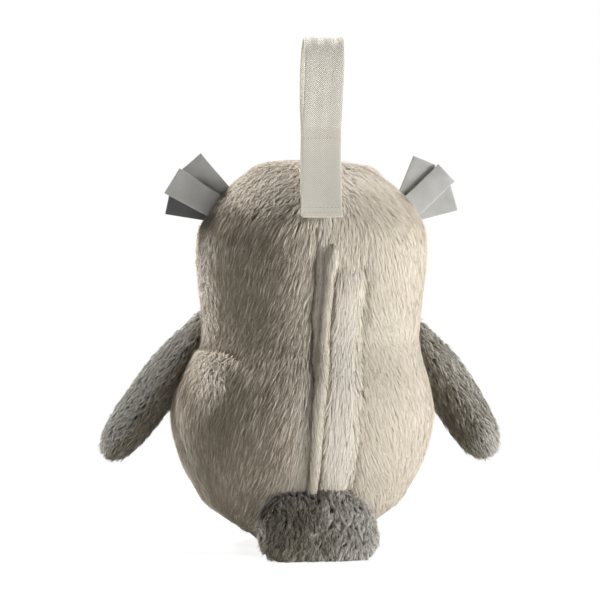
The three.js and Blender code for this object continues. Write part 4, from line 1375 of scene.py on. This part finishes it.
@dataclass
class Tail:
    """The tail: a fluffy pad that rests on the floor."""

    half_width: float = 38.0
    half_thickness: float = 9.5
    top: float = 39.7
    top_inset: float = 6.5
    length: float = 49.3
    droop: float = 53.5
    bend_end: float = 12.0
    seed: int = 41

    def build(self) -> None:
        """Makes the tail's pad and fur."""
        depth = float(PEAR.width_at(np.array(self.top))) * PEAR.depth_share
        start = np.array([PEAR.belly_shift, depth - self.top_inset, self.top])
        angle = math.radians(self.droop)
        spine = np.array([0, math.cos(angle), -math.sin(angle)])
        pad = Pad("tail", start, start + spine * self.length, np.array([1.0, 0, 0]),
                  np.array([0, -spine[2], spine[1]]), self.half_width, self.half_thickness, 2.3,
                  TAIL_OUTLINE, TAIL_THICK)
        skin = pad.skin()
        dress(skin, DARK_BACKING)
        coat = Coat(length=5.6, pile=3.6, locks=0.42, hairs=11, across=3.2, along=3.2, pinch=0.35,
                    wander=16.0, contrast=0.6, round=32.0, floor=True)

        def comb(points: Array, out: Array) -> Array:
            """Down the pad, in swirls a few millimetres across."""
            waves = ((17, 71, 1.0), (23, 73, 0.4), (19, 79, 0.5))
            swirl = np.column_stack([share * ripple(points, size, seed) for size, seed, share in waves])
            fan = np.outer((points[:, 0] - start[0]) / 60, [1.0, 0, 0])
            return spine + 0.55 * swirl + 0.3 * out + fan - [0, 0, 0.6]

        def tone(points: Array, out: Array) -> Array:
            """Mottled, darker towards the body, with painted shade to the left and painted light to the
            right, and paler along the sides and the bottom.
            """
            near = 1 - smooth(2, 16, (points - start) @ spine)
            across = (points[:, 0] - start[0]) / self.half_width
            edge = 0.7 * smooth(0.72, 0.95, np.abs(across)) + 0.4 * (1 - smooth(4, 13, points[:, 2]))
            # The across term is painted shade on the left half and painted light on the right half.
            return 0.04 + 0.16 * ripple(points, 13, 83) - 0.2 * near - 0.66 * across + edge

        fur = Fur(coat, PALETTE.get(DARK_PLUSH), self.seed).grow("tail_fur", skin, Groom(comb, tone=tone))
        seam = np.array([PEAR.belly_shift, depth, self.top])
        join_furred(skin, fur, Body.TAIL, seam, seam + spine * self.bend_end, "dark_plush", "tail")


@dataclass
class Foot:
    """A small stuffed foot under the belly."""

    side: Side
    seed: int
    spacing: float = 42.0
    axis: float = 8.2
    overhang: float = 8.0
    length: float = 65.0
    half_width: float = 17.0
    half_height: float = 9.0

    def build(self) -> None:
        """Makes the foot's pad and fur."""
        name = f"{self.side.name.lower()}_foot"
        x = PEAR.belly_shift + self.side.value * self.spacing / 2
        toe = -PEAR.half_width * PEAR.depth_share - self.overhang
        pad = Pad(name, np.array([x, toe + self.length, self.axis]), np.array([x, toe, self.axis]),
                  np.array([1.0, 0, 0]), np.array([0, 0, 1.0]), self.half_width, self.half_height, 2.4,
                  FOOT_OUTLINE, FOOT_THICK, rings=36)
        skin = pad.skin()
        dress(skin, DARK_BACKING)
        coat = Coat(length=5.0, pile=2.2, locks=0.6, hair_width=0.38, across=1.5, along=2.4, floor=True)

        def comb(points: Array, out: Array) -> Array:
            """Towards the toe and down."""
            return np.tile(np.array([0, -1.0, -0.3]), (len(points), 1))

        def keep(points: Array, out: Array) -> Array:
            """Only what shows outside the body, and little underneath."""
            return np.where(points[:, 1] < -38, 1.0, 0.0) * np.where(out[:, 2] < -0.8, 0.3, 1.0)

        fur = Fur(coat, PALETTE.get(DARK_PLUSH), self.seed).grow(f"{name}_fur", skin, Groom(comb, keep))
        settle_furred(skin, fur, Body.TOY, "dark_plush", name)


@dataclass
class Tuft:
    """One felt strip of an ear tuft."""

    name: str
    side: Side
    height: float
    length: float
    rise: float
    root_half: float
    tip_half: float
    layer: int
    finish: Finish
    twist: float = 0.0
    thickness: float = 2.5
    spacing: float = 3.0
    depth: float = 2.0
    root_inset: float = 5.0
    curl: float = 1.6

    def build(self) -> None:
        """Makes the strip, a little bowed, with cut edges."""
        sign = self.side.value
        z = np.array(self.height)
        root = np.array([float(PEAR.lean(z) + sign * PEAR.width_at(z)), 0, self.height])
        angle = math.radians(self.rise)
        spine = np.array([sign * math.cos(angle), 0, math.sin(angle)])
        across = np.array([-spine[2], 0, spine[0]])
        y = self.depth + self.layer * self.spacing

        def mapping(grid: Array) -> Array:
            """Lays the grid along the strip."""
            share = (grid[:, 0] + 1) / 2
            along = -self.root_inset + share * (self.length + self.root_inset)
            half = self.root_half + (self.tip_half - self.root_half) * share
            bowed = self.curl * (share ** 2 - 0.4 * grid[:, 1] ** 2 * share)
            turned = np.radians(self.twist) * smooth(0, 0.7, share)
            wide, deep = grid[:, 1] * half * np.cos(turned), grid[:, 1] * half * np.sin(turned)
            return (root + along[:, None] * spine + wide[:, None] * across
                    + (y - 0.6 + bowed + deep)[:, None] * np.array([0, 1.0, 0]))

        obj = slab_form(f"{self.name}_felt", (26, 14), mapping, self.thickness - 0.3, 0, 0.35)
        dress(obj, self.finish)
        slot = "dark_felt" if self.finish is DARK_FELT else "felt"
        settle(obj, Body.TOY, slot, self.name)


@dataclass
class Strap:
    """The hanging strap: webbing sewn to the head, folded over at the top and closed by grip patches."""

    width: float = 25.0
    thickness: float = 2.0
    foot: float = 211.0
    lie: float = 219.0
    rise: float = 47.0
    rise_lean: float = -14.9
    loop_height: float = 59.0
    loop_width: float = 20.4
    patch: float = 1.0
    gap: float = 0.3
    touch: float = 0.4
    foot_shift: float = 3.1
    top_shift: float = -1.3
    top: float = 326.0
    dish: float = 0.1
    cells: int = 90
    patch_width: float = 20.0
    patch_cells: int = 30
    patch_low: float = 6.5
    patch_high: float = 50.0
    stitch: float = 2.4
    stitch_span: float = 10.8
    stitch_rows: tuple = (3.0, 6.4, 52.5)
    rise_shares: tuple = ((0.503, 0.362), (0.825, 0.702), (1, 1))
    sewn_shares: tuple = ((-0.275, 0.169), (-0.529, 0.407), (-0.637, 0.627), (-0.608, 0.805),
                          (-0.461, 0.939), (-0.304, 0.992), (-0.186, 1))
    free_shares: tuple = ((-0.186, 1), (-0.064, 0.992), (0.118, 0.936), (0.284, 0.814), (0.363, 0.627),
                          (0.353, 0.407), (0.294, 0.186))

    def knots(self) -> tuple[list, list, list]:
        """The sewn strand's knots below and above the fold's start, and the free strand's loop."""
        stack = self.touch + self.thickness / 2 + self.gap
        first = [(float(PEAR.width_at(np.array(z))) * PEAR.depth_share + stack, z)
                 for z in (self.foot, (self.foot + self.lie) / 2, self.lie)]
        y0, z0 = first[-1]
        rise = [(y0 + y * self.rise_lean, z0 + z * self.rise) for y, z in self.rise_shares]
        y1, z1 = rise[-1]
        sewn = [(y1 + y * self.loop_width, z1 + z * self.loop_height) for y, z in self.sewn_shares]
        free = [(y1 + y * self.loop_width, z1 + z * self.loop_height) for y, z in self.free_shares]
        return first + rise, sewn, free

    def middle(self, z: Array) -> Array:
        """The strap's middle across, at each height: it hangs a little aslant."""
        slant = (self.top_shift - self.foot_shift) / (self.top - self.foot)
        return PEAR.head_shift + self.foot_shift + slant * (z - self.foot)

    @staticmethod
    def shifted(path: Array, reach: float) -> Array:
        """A path moved sideways by a reach."""
        along = unit(np.gradient(path, axis=0))
        return path + np.column_stack([along[:, 1], -along[:, 0]]) * reach

    def ribbon(self, name: str, path: Array, width: float, thickness: float, cells: int) -> bpy.types.Object:
        """A band of webbing along a path of the Y-Z plane.

        Args:
            name: the piece's name.
            path: its middle line.
            width: across X.
            thickness: through the band.
            cells: how many faces it has along its length.

        Returns:
            The band, with its weave map in millimetres.
        """
        line, steps = evenly(path, cells + 1), np.arange(cells + 1)
        out = unit(np.gradient(line, axis=0))
        normals = np.column_stack([out[:, 1], -out[:, 0]])

        def mapping(grid: Array) -> Array:
            """Lays the grid along the path."""
            at = np.clip((grid[:, 0] + 1) / 2 * cells, 0, cells)
            y, z = (np.interp(at, steps, line[:, k]) for k in range(2))
            n = np.column_stack([np.interp(at, steps, normals[:, k]) for k in range(2)])
            dish = self.dish * np.cos(grid[:, 1] * math.pi)
            x = self.middle(z) + grid[:, 1] * width / 2
            return np.column_stack([x, y + n[:, 0] * dish, z + n[:, 1] * dish])

        obj = slab_form(name, (cells, 16), mapping, thickness * 0.9, 0, 0.3)
        dress(obj, WEBBING)
        self.weave(obj, line)
        return obj

    def weave(self, obj: bpy.types.Object, line: Array) -> None:
        """Gives a band its weave map: across and along, in millimetres.

        Args:
            obj: the band.
            line: its middle line.
        """
        points, steps, mesh = coordinates(obj) / MM, run_of(line), obj.data
        near = np.array([np.argmin(((line - p) ** 2).sum(1)) for p in points[:, 1:]])
        tangents = unit(np.gradient(line, axis=0))
        along = steps[near] + ((points[:, 1:] - line[near]) * tangents[near]).sum(1)
        corner = np.empty(len(mesh.loops), np.int64)
        mesh.loops.foreach_get("vertex_index", corner)
        flat = np.column_stack([points[:, 0] - self.middle(points[:, 2]) + self.width / 2, along])[corner]
        layer = mesh.uv_layers.new(name="weave")
        layer.data.foreach_set("uv", flat.astype(np.float32).ravel())

    def build(self) -> None:
        """Makes both strands, the patches and the stitching."""
        low, sewn, free = self.knots()
        path = evenly(curve_through(low + sewn, 400), 300)
        lower = path[(path[:, 1] < low[-1][1]) & (np.arange(len(path)) < 150)]
        strand = self.ribbon("strap_sewn_webbing", path[8:-2], self.width, self.thickness, self.cells)
        settle(strand, Body.TOY, "webbing", "strap_sewn_strand")
        stack = self.thickness / 2 + self.gap + self.patch / 2
        outer = self.shifted(lower, 2 * stack + self.patch + self.gap)[::-1]
        top = curve_through(list(free) + [tuple(p) for p in outer[:8:4]], 240)
        down = np.vstack([top[top[:, 1] > outer[0, 1] + self.thickness], outer])
        free_band = self.ribbon("strap_free_webbing", down[2:], self.width, self.thickness, self.cells)
        fold = np.array([self.middle(free[0][1]), free[0][0], free[0][1]])
        join(free_band, Body.STRAP_END, fold + [0, -0.2, 0], fold + [0, 3.5, -1.5], "webbing",
             "strap_free_strand")
        self.stitches(down)
        above_foot = lower[:, 1] - self.foot
        between = lower[(above_foot > self.patch_low) & (above_foot < self.patch_high)]
        for grip, reach, body in (("loop", stack, Body.TOY),
                                  ("hook", stack + self.patch + self.gap, Body.STRAP_END)):
            path = self.shifted(between, reach)
            tape = self.ribbon(f"strap_{grip}_tape", path, self.patch_width, self.patch, self.patch_cells)
            settle(tape, body, f"{grip}_tape", f"strap_{grip}_patch")

    def stitches(self, line: Array) -> None:
        """Rows of thread across the free strand: two at its end and one where its patch stops.

        Args:
            line: the strand's middle line in the Y-Z plane, from the fold down.
        """
        run, tangents = run_of(line), unit(np.gradient(line, axis=0))
        bpy.ops.object.select_all(action="DESELECT")
        bpy.ops.mesh.primitive_uv_sphere_add(segments=8, ring_count=6, radius=1)
        first = bpy.context.active_object
        form, rows = coordinates(first) * [self.stitch * 0.42, 0.26, 0.26], []
        for back in self.stitch_rows:
            at = run[-1] - back
            y, z = (np.interp(at, run, line[:, k]) for k in range(2))
            ty, tz = (np.interp(at, run, tangents[:, k]) for k in range(2))
            centre = np.array([y, z]) - np.array([tz, -ty]) * (self.thickness * 0.45)
            for step in np.arange(-self.stitch_span, self.stitch_span + 0.1, self.stitch):
                rows.append(form + [self.middle(centre[1]) + step, centre[0], centre[1]])
        copies = []
        for number, points in enumerate(rows):
            copy = first if number == 0 else first.copy()
            if number:
                copy.data = first.data.copy()
                bpy.context.scene.collection.objects.link(copy)
            place(copy, points)
            copies.append(copy)
        only(first)
        for copy in copies:
            copy.select_set(True)
        bpy.ops.object.join()
        first.name = first.data.name = "strap_stitches"
        bpy.ops.object.shade_smooth()
        dress(first, THREAD)
        settle(first, Body.STRAP_END, "webbing")


# A line of the back: from heights to places across, in millimetres
Line = Callable[[Array], Array]


@dataclass
class Closure:
    """The rear closure: furry flap, raised hem and what the flap closes on, in millimetres."""

    hem_inset: float = 1.3
    hem_tip: float = 2.6
    hem_taper: float = 16.0
    underlap_ends: tuple[float, float] = (43.8, 183.6)
    tape_ends: tuple[float, float] = (46.8, 180.6)
    tape_inset: float = 2.2
    sewn_inset: float = 4.6
    lap: float = 8.0
    pivot: tuple[float, float] = (68.5, 114.0)
    bend: tuple[float, float] = (-1.2, 2.3)
    flap_seed: int = 23
    hem_seed: int = 29

    def strip(self, name: str, left: Line, right: Line, low: float, high: float, offset: float,
              thickness: float, crown: float = 0.0, cells: tuple[int, int] = (110, 12), edge: float = 0.4,
              sink: float = 0.0) -> bpy.types.Object:
        """A strip that follows the back between two slanted lines.

        Args:
            name: the piece's name.
            left: the line on the low X side.
            right: the line on the high X side.
            low: its bottom.
            high: its top.
            offset: how far its outer face lies out of the form.
            thickness: inwards from there.
            crown: how far its middle is higher than its edges.
            cells: faces along and across.
            edge: radius of its edges.
            sink: how far its top end dips into the fur; its bottom end dips half as far.

        Returns:
            The strip.
        """

        def mapping(grid: Array) -> Array:
            """Lays the grid on the back."""
            z = low + (grid[:, 0] + 1) / 2 * (high - low)
            share = (grid[:, 1] + 1) / 2
            x = left(z) + share * (right(z) - left(z))
            points, out = PEAR.back_of(x, z)
            rise = crown * (np.cos(grid[:, 1] * math.pi / 2) - 1)
            dip = sink * (smooth(high - 9, high, z) + 0.5 * (1 - smooth(low, low + 7, z)))
            return points + out * (offset + rise - dip)[:, None]

        obj = slab_form(name, cells, mapping, thickness, 1.0, edge)
        volume(obj)
        return obj

    def flap(self) -> None:
        """Makes the flap and its fur."""
        flap = self.strip("closure_flap_backing", lambda z: LINES.hinge(z) + 0.2,
                          lambda z: LINES.free(z) - 0.6, LINES.bottom + 0.3, LINES.top - 0.3, -1.0, 1.0,
                          crown=0.5, sink=2.6)
        dress(flap, BACKING)
        coat = Coat(length=9.0, pile=2.0, locks=0.8, hair_width=0.36, along=3.6, round=30.0, wander=3.5)

        def comb(points: Array, out: Array) -> Array:
            """Straight down, leaning over both edges."""
            near = 1 - smooth(0, 4, points[:, 0] - LINES.hinge(points[:, 2]))
            free = smooth(-4, -0.5, points[:, 0] - LINES.free(points[:, 2]))
            return np.column_stack([0.04 - 0.45 * near + 0.4 * free, 0 * near, -np.ones(len(near))])

        def outer(points: Array, out: Array) -> Array:
            """Fur on the outer face alone."""
            return np.where(out[:, 1] > 0.25, 1.0, 0.0)

        def trim(points: Array, out: Array) -> Array:
            """The bottom end is cut short."""
            return 0.25 + 0.75 * smooth(LINES.bottom + 1, LINES.bottom + 9, points[:, 2])

        def painted_light_and_edge_shade(points: Array, out: Array) -> Array:
            """Painted light: a little paler than the body, with painted shade along both edges."""
            x, z = points[:, 0], points[:, 2]
            # Painted light over the flap, painted shade in the grooves at its free and sewn edges.
            return 0.55 - 0.9 * bump(x, LINES.free(z) - 0.8, 1.2) - 0.7 * bump(x, LINES.hinge(z), 1.6)

        def even(points: Array, out: Array) -> Array:
            """Hardly any streaks."""
            return np.full(len(points), 0.1)

        groom = Groom(comb, outer, trim, painted_light_and_edge_shade, even)
        fur = Fur(coat, PALETTE.get(PLUSH), self.flap_seed).grow("closure_flap_fur", flap, groom)
        depth, height = self.pivot
        pivot = np.array([LINES.hinge(np.array(height)), depth, height])
        turned = np.array([LINES.top - LINES.bottom, 0, LINES.hinge_bottom - LINES.hinge_top])
        turned = turned / np.linalg.norm(turned)
        join_furred(flap, fur, Body.FLAP, pivot + turned * self.bend[0], pivot + turned * self.bend[1],
                    "plush", "closure_flap")

    def hem(self) -> None:
        """Makes the raised hem and its fur."""
        start = LINES.free_gap + LINES.hem_setback
        end = start + LINES.hem_width

        def pointed(z: Array) -> Array:
            """How far the hem's outer edge draws in towards its top."""
            return (LINES.hem_width - self.hem_tip) * smooth(LINES.hem_top - self.hem_taper, LINES.hem_top, z)

        hem = self.strip("closure_hem_backing", lambda z: LINES.free(z) + start + 0.9,
                         lambda z: LINES.free(z) + end - self.hem_inset - pointed(z),
                         LINES.bottom, LINES.hem_top, -0.4, 2.2, crown=0.6, cells=(130, 10), sink=1.5)
        dress(hem, BACKING)
        coat = Coat(length=8.0, pile=1.3, locks=1.6, across=0.8, along=3.4, round=30.0, wander=3.5)

        def comb(points: Array, out: Array) -> Array:
            """Straight down the hem."""
            return np.tile(np.array([-0.12, 0, -1.0]), (len(points), 1))

        def outer(points: Array, out: Array) -> Array:
            """Fur on the outer face and down the face beside the deep seam."""
            return np.where(out[:, 1] > np.where(out[:, 0] > 0, 0.0, 0.45), 1.0, 0.0)

        def hem_painted_shade(points: Array, out: Array) -> Array:
            """Pale along the middle, with painted shade in the grooves on both sides and on the face turned
            from the light.
            """
            x, z = points[:, 0], points[:, 2]
            share = (x - LINES.free(z) - start) / LINES.hem_width
            low = 1 - smooth(LINES.hem_top - self.hem_taper, LINES.hem_top - 4, z)
            # Painted shade on the left face, turned from the light, and in the groove by the flap.
            far = smooth(0.72, 0.92, share) * smooth(95, 135, z)
            return 0.5 - (0.6 * far + 0.7 * (1 - smooth(0.1, 0.3, share))) * low

        groom = Groom(comb, outer, tone=hem_painted_shade)
        fur = Fur(coat, PALETTE.get(PLUSH), self.hem_seed).grow("closure_hem_fur", hem, groom)
        settle_furred(hem, fur, Body.TOY, "plush", "closure_hem")

    def under(self) -> None:
        """Makes the underlap and the two grip tapes."""

        def left(inset: float) -> Line:
            """A line that lies in from the sewn edge."""
            return lambda z: LINES.hinge(z) + inset

        def right(inset: float) -> Line:
            """A line that lies in from the free edge."""
            return lambda z: LINES.free(z) - inset

        cloth = self.strip("closure_underlap_cloth", left(self.sewn_inset), right(-LINES.free_gap - self.lap),
                           *self.underlap_ends, -5.2, 1.2, cells=(90, 12))
        dress(cloth, BACKING)
        settle(cloth, Body.TOY, "lining", "closure_underlap")
        for grip, inset, offset, body in (("loop", self.sewn_inset, -3.7, Body.TOY),
                                          ("hook", self.tape_inset, -2.35, Body.FLAP)):
            tape = self.strip(f"closure_{grip}_tape", left(inset), right(self.tape_inset), *self.tape_ends,
                              offset, 0.9, cells=(90, 8))
            dress(tape, WEBBING)
            settle(tape, body, f"{grip}_tape", f"closure_{grip}_strip")

    def build(self) -> None:
        """Makes the flap, the hem and the pieces under them."""
        self.flap()
        self.hem()
        self.under()


FACE_OUTLINE = [(0, 0.62), (0.34, 0.93), (0.68, 0.92), (0.95, 0.5), (0.98, 0.02), (0.8, -0.5),
                (0.42, -0.88), (0, -1), (-0.42, -0.88), (-0.8, -0.5), (-0.98, 0.02), (-0.95, 0.5),
                (-0.68, 0.92), (-0.34, 0.93)]


@dataclass
class Front:
    """The plain face and belly of any toy owl: pale panels, felt eye patches, glossy eyes and a felt beak."""

    eye_spread: float = 25.0
    eye_height: float = 200.0
    patch_radius: float = 14.0
    eye_radius: float = 7.5
    beak_height: float = 183.0
    face_seed: int = 61
    belly_seed: int = 67

    def lens(self, name: str, centre: tuple[float, float], reach: Callable[[Array], Array], inner: float,
             outer: float, segments: int = 72, rings: int = 40) -> bpy.types.Object:
        """A flat, crowned pad on the front of the body.

        Args:
            name: the piece's name.
            centre: its middle, X and Z.
            reach: from the turn round the middle to the outline's X and Z from the middle.
            inner: offset of its inner face from the form.
            outer: offset of its outer face.
            segments: faces round it.
            rings: faces from pole to pole.

        Returns:
            The pad.
        """

        def mapping(sphere: Array) -> Array:
            """Presses the unit sphere onto the front."""
            share, turn = polar(sphere)
            radius = np.sin(share * math.pi) ** 0.8
            rim = reach(turn)
            across, up = centre[0] + rim[:, 0] * radius, centre[1] + rim[:, 1] * radius
            points, out = PEAR.back_of(across, up, front=True)
            top = np.sign(sphere[:, 2]) * (1 - radius ** 6) ** 0.5
            return points + out * ((inner + outer) / 2 + top * (outer - inner) / 2)[:, None]

        obj = sphere_form(name, segments, rings, mapping)
        volume(obj)
        return obj

    def build(self) -> None:
        """Makes the panels, the eyes and the beak."""
        loop = curve_through(FACE_OUTLINE + FACE_OUTLINE[:3], 400)
        turns = np.unwrap(np.arctan2(loop[:, 1], loop[:, 0]))
        radii = np.hypot(loop[:, 0], loop[:, 1])
        order = np.argsort(turns % (2 * math.pi))
        table = (turns % (2 * math.pi))[order], radii[order]

        def face_reach(turn: Array) -> Array:
            """The face panel's outline, in unit shares first."""
            radius = np.interp(turn % (2 * math.pi), *table, period=2 * math.pi)
            wide, high = FACE_HALF
            return np.column_stack([np.cos(turn) * radius * wide, np.sin(turn) * radius * high])

        def round_reach(half_x: float, half_z: float) -> Callable[[Array], Array]:
            """An ellipse's outline."""
            return lambda turn: np.column_stack([np.cos(turn) * half_x, np.sin(turn) * half_z])

        x = PEAR.head_shift
        self.panel("face_panel", (x, FACE_HEIGHT), face_reach, self.face_seed)
        self.panel("belly_panel", (PEAR.belly_shift, BELLY_HEIGHT), round_reach(*BELLY_HALF), self.belly_seed)
        for side in Side:
            centre = (x + side.value * self.eye_spread, self.eye_height)
            prefix = side.name.lower()
            patch = self.lens(f"{prefix}_eye_felt", centre, round_reach(self.patch_radius, self.patch_radius),
                              2.4, 4.6, 48, 16)
            dress(patch, FELT)
            settle(patch, Body.TOY, "felt", f"{prefix}_eye_patch")
            self.dome(f"{prefix}_eye_bead", centre, (self.eye_radius,) * 3, 5.0, EYE_GLOSS, "eye",
                      f"{prefix}_eye", 0.55)
        self.dome("beak_felt", (x, self.beak_height), (7, 9, 10), 3.0, BEAK_FELT, "beak", "beak", 1.0)

    def panel(self, name: str, centre: tuple[float, float], reach: Callable[[Array], Array],
              seed: int) -> None:
        """A pale, furry panel on the front.

        Args:
            name: the CAD node that it stands for.
            centre: its middle, X and Z.
            reach: from the turn round the middle to the outline's X and Z from the middle.
            seed: the seed of its fur.
        """
        panel = self.lens(f"{name}_backing", centre, reach, -2.0, 0.8)
        dress(panel, PALE_BACKING)
        coat = Coat(length=5.0, pile=1.8, locks=0.6, hair_width=0.38, across=1.5, along=2.4, contrast=0.5)

        def comb(points: Array, out: Array) -> Array:
            """Out from the middle and down."""
            away = points - np.array([centre[0], -60, centre[1]])
            return unit(away * [1, 0, 1]) + np.array([0, 0, -0.7])

        def outer(points: Array, out: Array) -> Array:
            """Fur on the outer face alone."""
            return np.where(out[:, 1] < -0.2, 1.0, 0.0)

        soft = Groom(comb, outer, spread=lambda points, out: np.full(len(points), 0.3))
        fur = Fur(coat, PALETTE.get(PALE_PLUSH), seed).grow(f"{name}_fur", panel, soft)
        settle_furred(panel, fur, Body.TOY, "pale_plush", name)

    def dome(self, name: str, centre: tuple[float, float], half: tuple[float, float, float], offset: float,
             finish: Finish, slot: str, cad: str, flat: float) -> None:
        """A rounded knob on the front.

        Args:
            name: the piece's name.
            centre: its middle, X and Z.
            half: its half sizes.
            offset: how far its middle lies out of the form.
            finish: its finish.
            slot: the record's slot.
            cad: the CAD node that it stands for.
            flat: how far its depth is squashed.
        """
        point, out = PEAR.back_of(np.array([centre[0]]), np.array([centre[1]]), front=True)
        middle = point[0] + out[0] * offset

        def mapping(sphere: Array) -> Array:
            """Places the knob."""
            return middle + sphere * [half[0], half[1] * flat, half[2]]

        obj = sphere_form(name, 40, 24, mapping)
        dress(obj, finish)
        settle(obj, Body.TOY, slot, cad)


# Stage


@dataclass
class Studio:
    """Camera, floor and lamps."""

    azimuth: float = 171.83
    elevation: float = 3.36
    distance: float = 1703.0
    lens: float = 157.9
    target: tuple[float, float, float] = (4.77, 0.0, 157.96)
    glow_start: float = 0.12
    glow_end: float = 0.5

    def camera(self) -> None:
        """The photograph's view."""
        a, e = math.radians(self.azimuth), math.radians(self.elevation)
        back = Vector((math.sin(a) * math.cos(e), -math.cos(a) * math.cos(e), math.sin(e)))
        bpy.ops.object.camera_add()
        camera = bpy.context.active_object
        camera.data.lens = self.lens
        camera.data.sensor_width = 36
        camera.location = (Vector(self.target) + back * self.distance) * MM
        camera.rotation_euler = back.to_track_quat("Z", "Y").to_euler()
        bpy.context.scene.camera = camera

    def lamp(self, name: str, place_at: tuple[float, float, float], size: float, power: float,
             aim: tuple[float, float, float] = (0, 0, 0.13)) -> None:
        """One square soft lamp.

        Args:
            name: the lamp's name.
            place_at: its place in metres.
            size: its side in metres.
            power: in watts.
            aim: the point that it faces.
        """
        bpy.ops.object.light_add(type="AREA", location=place_at)
        lamp = bpy.context.active_object
        lamp.name = name
        lamp.data.size, lamp.data.energy = size, power
        lamp.rotation_euler = (Vector(place_at) - Vector(aim)).to_track_quat("Z", "Y").to_euler()

    @staticmethod
    def seen(tree: bpy.types.NodeTree) -> bpy.types.NodeSocket:
        """One for the rays that show the background: the camera's own, and those in gloss and glass."""
        rays = node(tree, "ShaderNodeLightPath")
        first = node(tree, "ShaderNodeMath", {"operation": "MAXIMUM"},
                     {0: rays.outputs["Is Camera Ray"], 1: rays.outputs["Is Glossy Ray"]})
        both = node(tree, "ShaderNodeMath", {"operation": "MAXIMUM"},
                    {0: first.outputs[0], 1: rays.outputs["Is Transmission Ray"]})
        return both.outputs[0]

    def floor(self) -> None:
        """A plain pale floor that the camera sees as near white, with the object's shadow on it."""
        bpy.ops.mesh.primitive_plane_add(size=12)
        floor = bpy.context.active_object
        floor.name = "floor"
        material = bpy.data.materials.new("pale_floor")
        material.use_nodes = True
        tree = material.node_tree
        shader = tree.nodes["Principled BSDF"]
        shader.inputs["Base Color"].default_value = linear("#dcdcda")
        shader.inputs["Roughness"].default_value = 0.9
        where = node(tree, "ShaderNodeTexCoord")
        far = node(tree, "ShaderNodeVectorMath", {"operation": "LENGTH"}, {0: where.outputs["Object"]})
        near = {"From_Min": self.glow_start, "From_Max": self.glow_end}
        share = node(tree, "ShaderNodeMapRange", {"interpolation_type": "SMOOTHSTEP"},
                     {"Value": far.outputs["Value"]}, **near, To_Min=0.66, To_Max=1.0)
        strength = node(tree, "ShaderNodeMapRange", {"interpolation_type": "SMOOTHSTEP"},
                        {"Value": far.outputs["Value"]}, **near, To_Min=1.35, To_Max=1.0)
        glow = node(tree, "ShaderNodeEmission", links={"Strength": strength.outputs[0]}, Color=(1, 1, 1, 1))
        seen = node(tree, "ShaderNodeMath", {"operation": "MULTIPLY"},
                    {0: self.seen(tree), 1: share.outputs[0]})
        mix = node(tree, "ShaderNodeMixShader",
                   links={0: seen.outputs[0], 1: shader.outputs[0], 2: glow.outputs[0]})
        tree.links.new(mix.outputs[0], tree.nodes["Material Output"].inputs[0])
        floor.data.materials.append(material)

    def world(self) -> None:
        """White to the camera, soft grey light to the object."""
        world = bpy.data.worlds.new("studio")
        bpy.context.scene.world = world
        world.use_nodes = True
        tree = world.node_tree
        background = tree.nodes["Background"]
        background.inputs[0].default_value = (1, 1, 1, 1)
        share = node(tree, "ShaderNodeMapRange", links={0: self.seen(tree)}, To_Min=0.06, To_Max=1.0)
        tree.links.new(share.outputs[0], background.inputs[1])

    def build(self) -> None:
        """Sets up the whole studio."""
        self.camera()
        self.floor()
        self.world()
        self.lamp("key", (-2.0, 0.95, 0.6), 0.7, 60)
        self.lamp("rim", (1.05, -0.78, 1.77), 0.5, 68)
        bpy.context.scene.view_settings.view_transform = "Standard"


WINGS = (
    # The left wing gets much more painted rim light than the right.
    Wing(Side.LEFT, height=151.2, length=116.4, droop=53.3, half_width=16.0, seed=31, painted_rim_light=0.85),
    Wing(Side.RIGHT, height=143.3, length=104.4, droop=57.9, half_width=17.2, seed=37, painted_rim_light=0.22),
)
FEET = (Foot(Side.LEFT, seed=43), Foot(Side.RIGHT, seed=47))
TUFTS = (
    Tuft("left_tuft_upper", Side.LEFT, 225.3, 29.6, 48, 7.8, 8.9, 0, FELT, 20),
    Tuft("left_tuft_middle", Side.LEFT, 219.5, 31.6, 30.4, 7.8, 9.5, 1, FELT, 16),
    Tuft("left_tuft_lower", Side.LEFT, 216.9, 27.8, 11, 7.6, 8.5, -1, DARK_FELT, 10),
    Tuft("right_tuft_upper", Side.RIGHT, 222, 28.3, 68, 7.8, 7.9, 0, FELT),
    Tuft("right_tuft_middle", Side.RIGHT, 218.9, 30.8, 43.9, 7.6, 7.8, 1, FELT),
    Tuft("right_tuft_lower", Side.RIGHT, 216.3, 27.7, 16.1, 7.6, 8.6, -1, FELT),
)

CASING = MouldedFinish("white_abs_casing", "#d8d8d4", roughness=0.45)
INNER_FINISHES = {
    "body_filling": BackingFinish("polyester_filling", "#f2f0ec", stitch=3.0),
    "pouch_lining": BackingFinish("cotton_lining", "#d9d4ca", stitch=0.8),
    "unit_front_case": CASING,
    "unit_rear_case": CASING,
    "battery_lid": CASING,
    "unit_button": MouldedFinish("blue_abs_button", "#7fa6b8", roughness=0.4),
    "unit_speaker": MouldedFinish("speaker_cone_paper", "#3a3a3c", roughness=0.7),
    "unit_board": MouldedFinish("green_circuit_board", "#2f6b45", roughness=0.35),
    "battery_left": MouldedFinish("cell_wrap", "#4a6f8a", roughness=0.35),
    "battery_springs": MouldedFinish("spring_steel", "#b8b8bc", roughness=0.3, metallic=1.0),
}


def dress_inner_nodes() -> None:
    """Gives the hidden CAD nodes of the sound unit and the stuffing their finishes."""
    for name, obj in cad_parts.items():
        if obj.hide_render:
            continue
        key = "battery_left" if name in ("battery_middle", "battery_right") else name
        metal = name.startswith("case_screw") or name in ("battery_contacts", "battery_lid_screw")
        dress(obj, INNER_FINISHES["battery_springs" if metal else key])


def main() -> None:
    """Builds the owl, from its stage to its smallest pieces."""
    logging.basicConfig(level=logging.INFO, format="%(message)s")
    for part in (Studio(), BodyCoat(), Closure(), *WINGS, Tail(), *FEET, *TUFTS, Strap(), Front()):
        part.build()
    dress_inner_nodes()


if __name__ == "__main__":
    main()
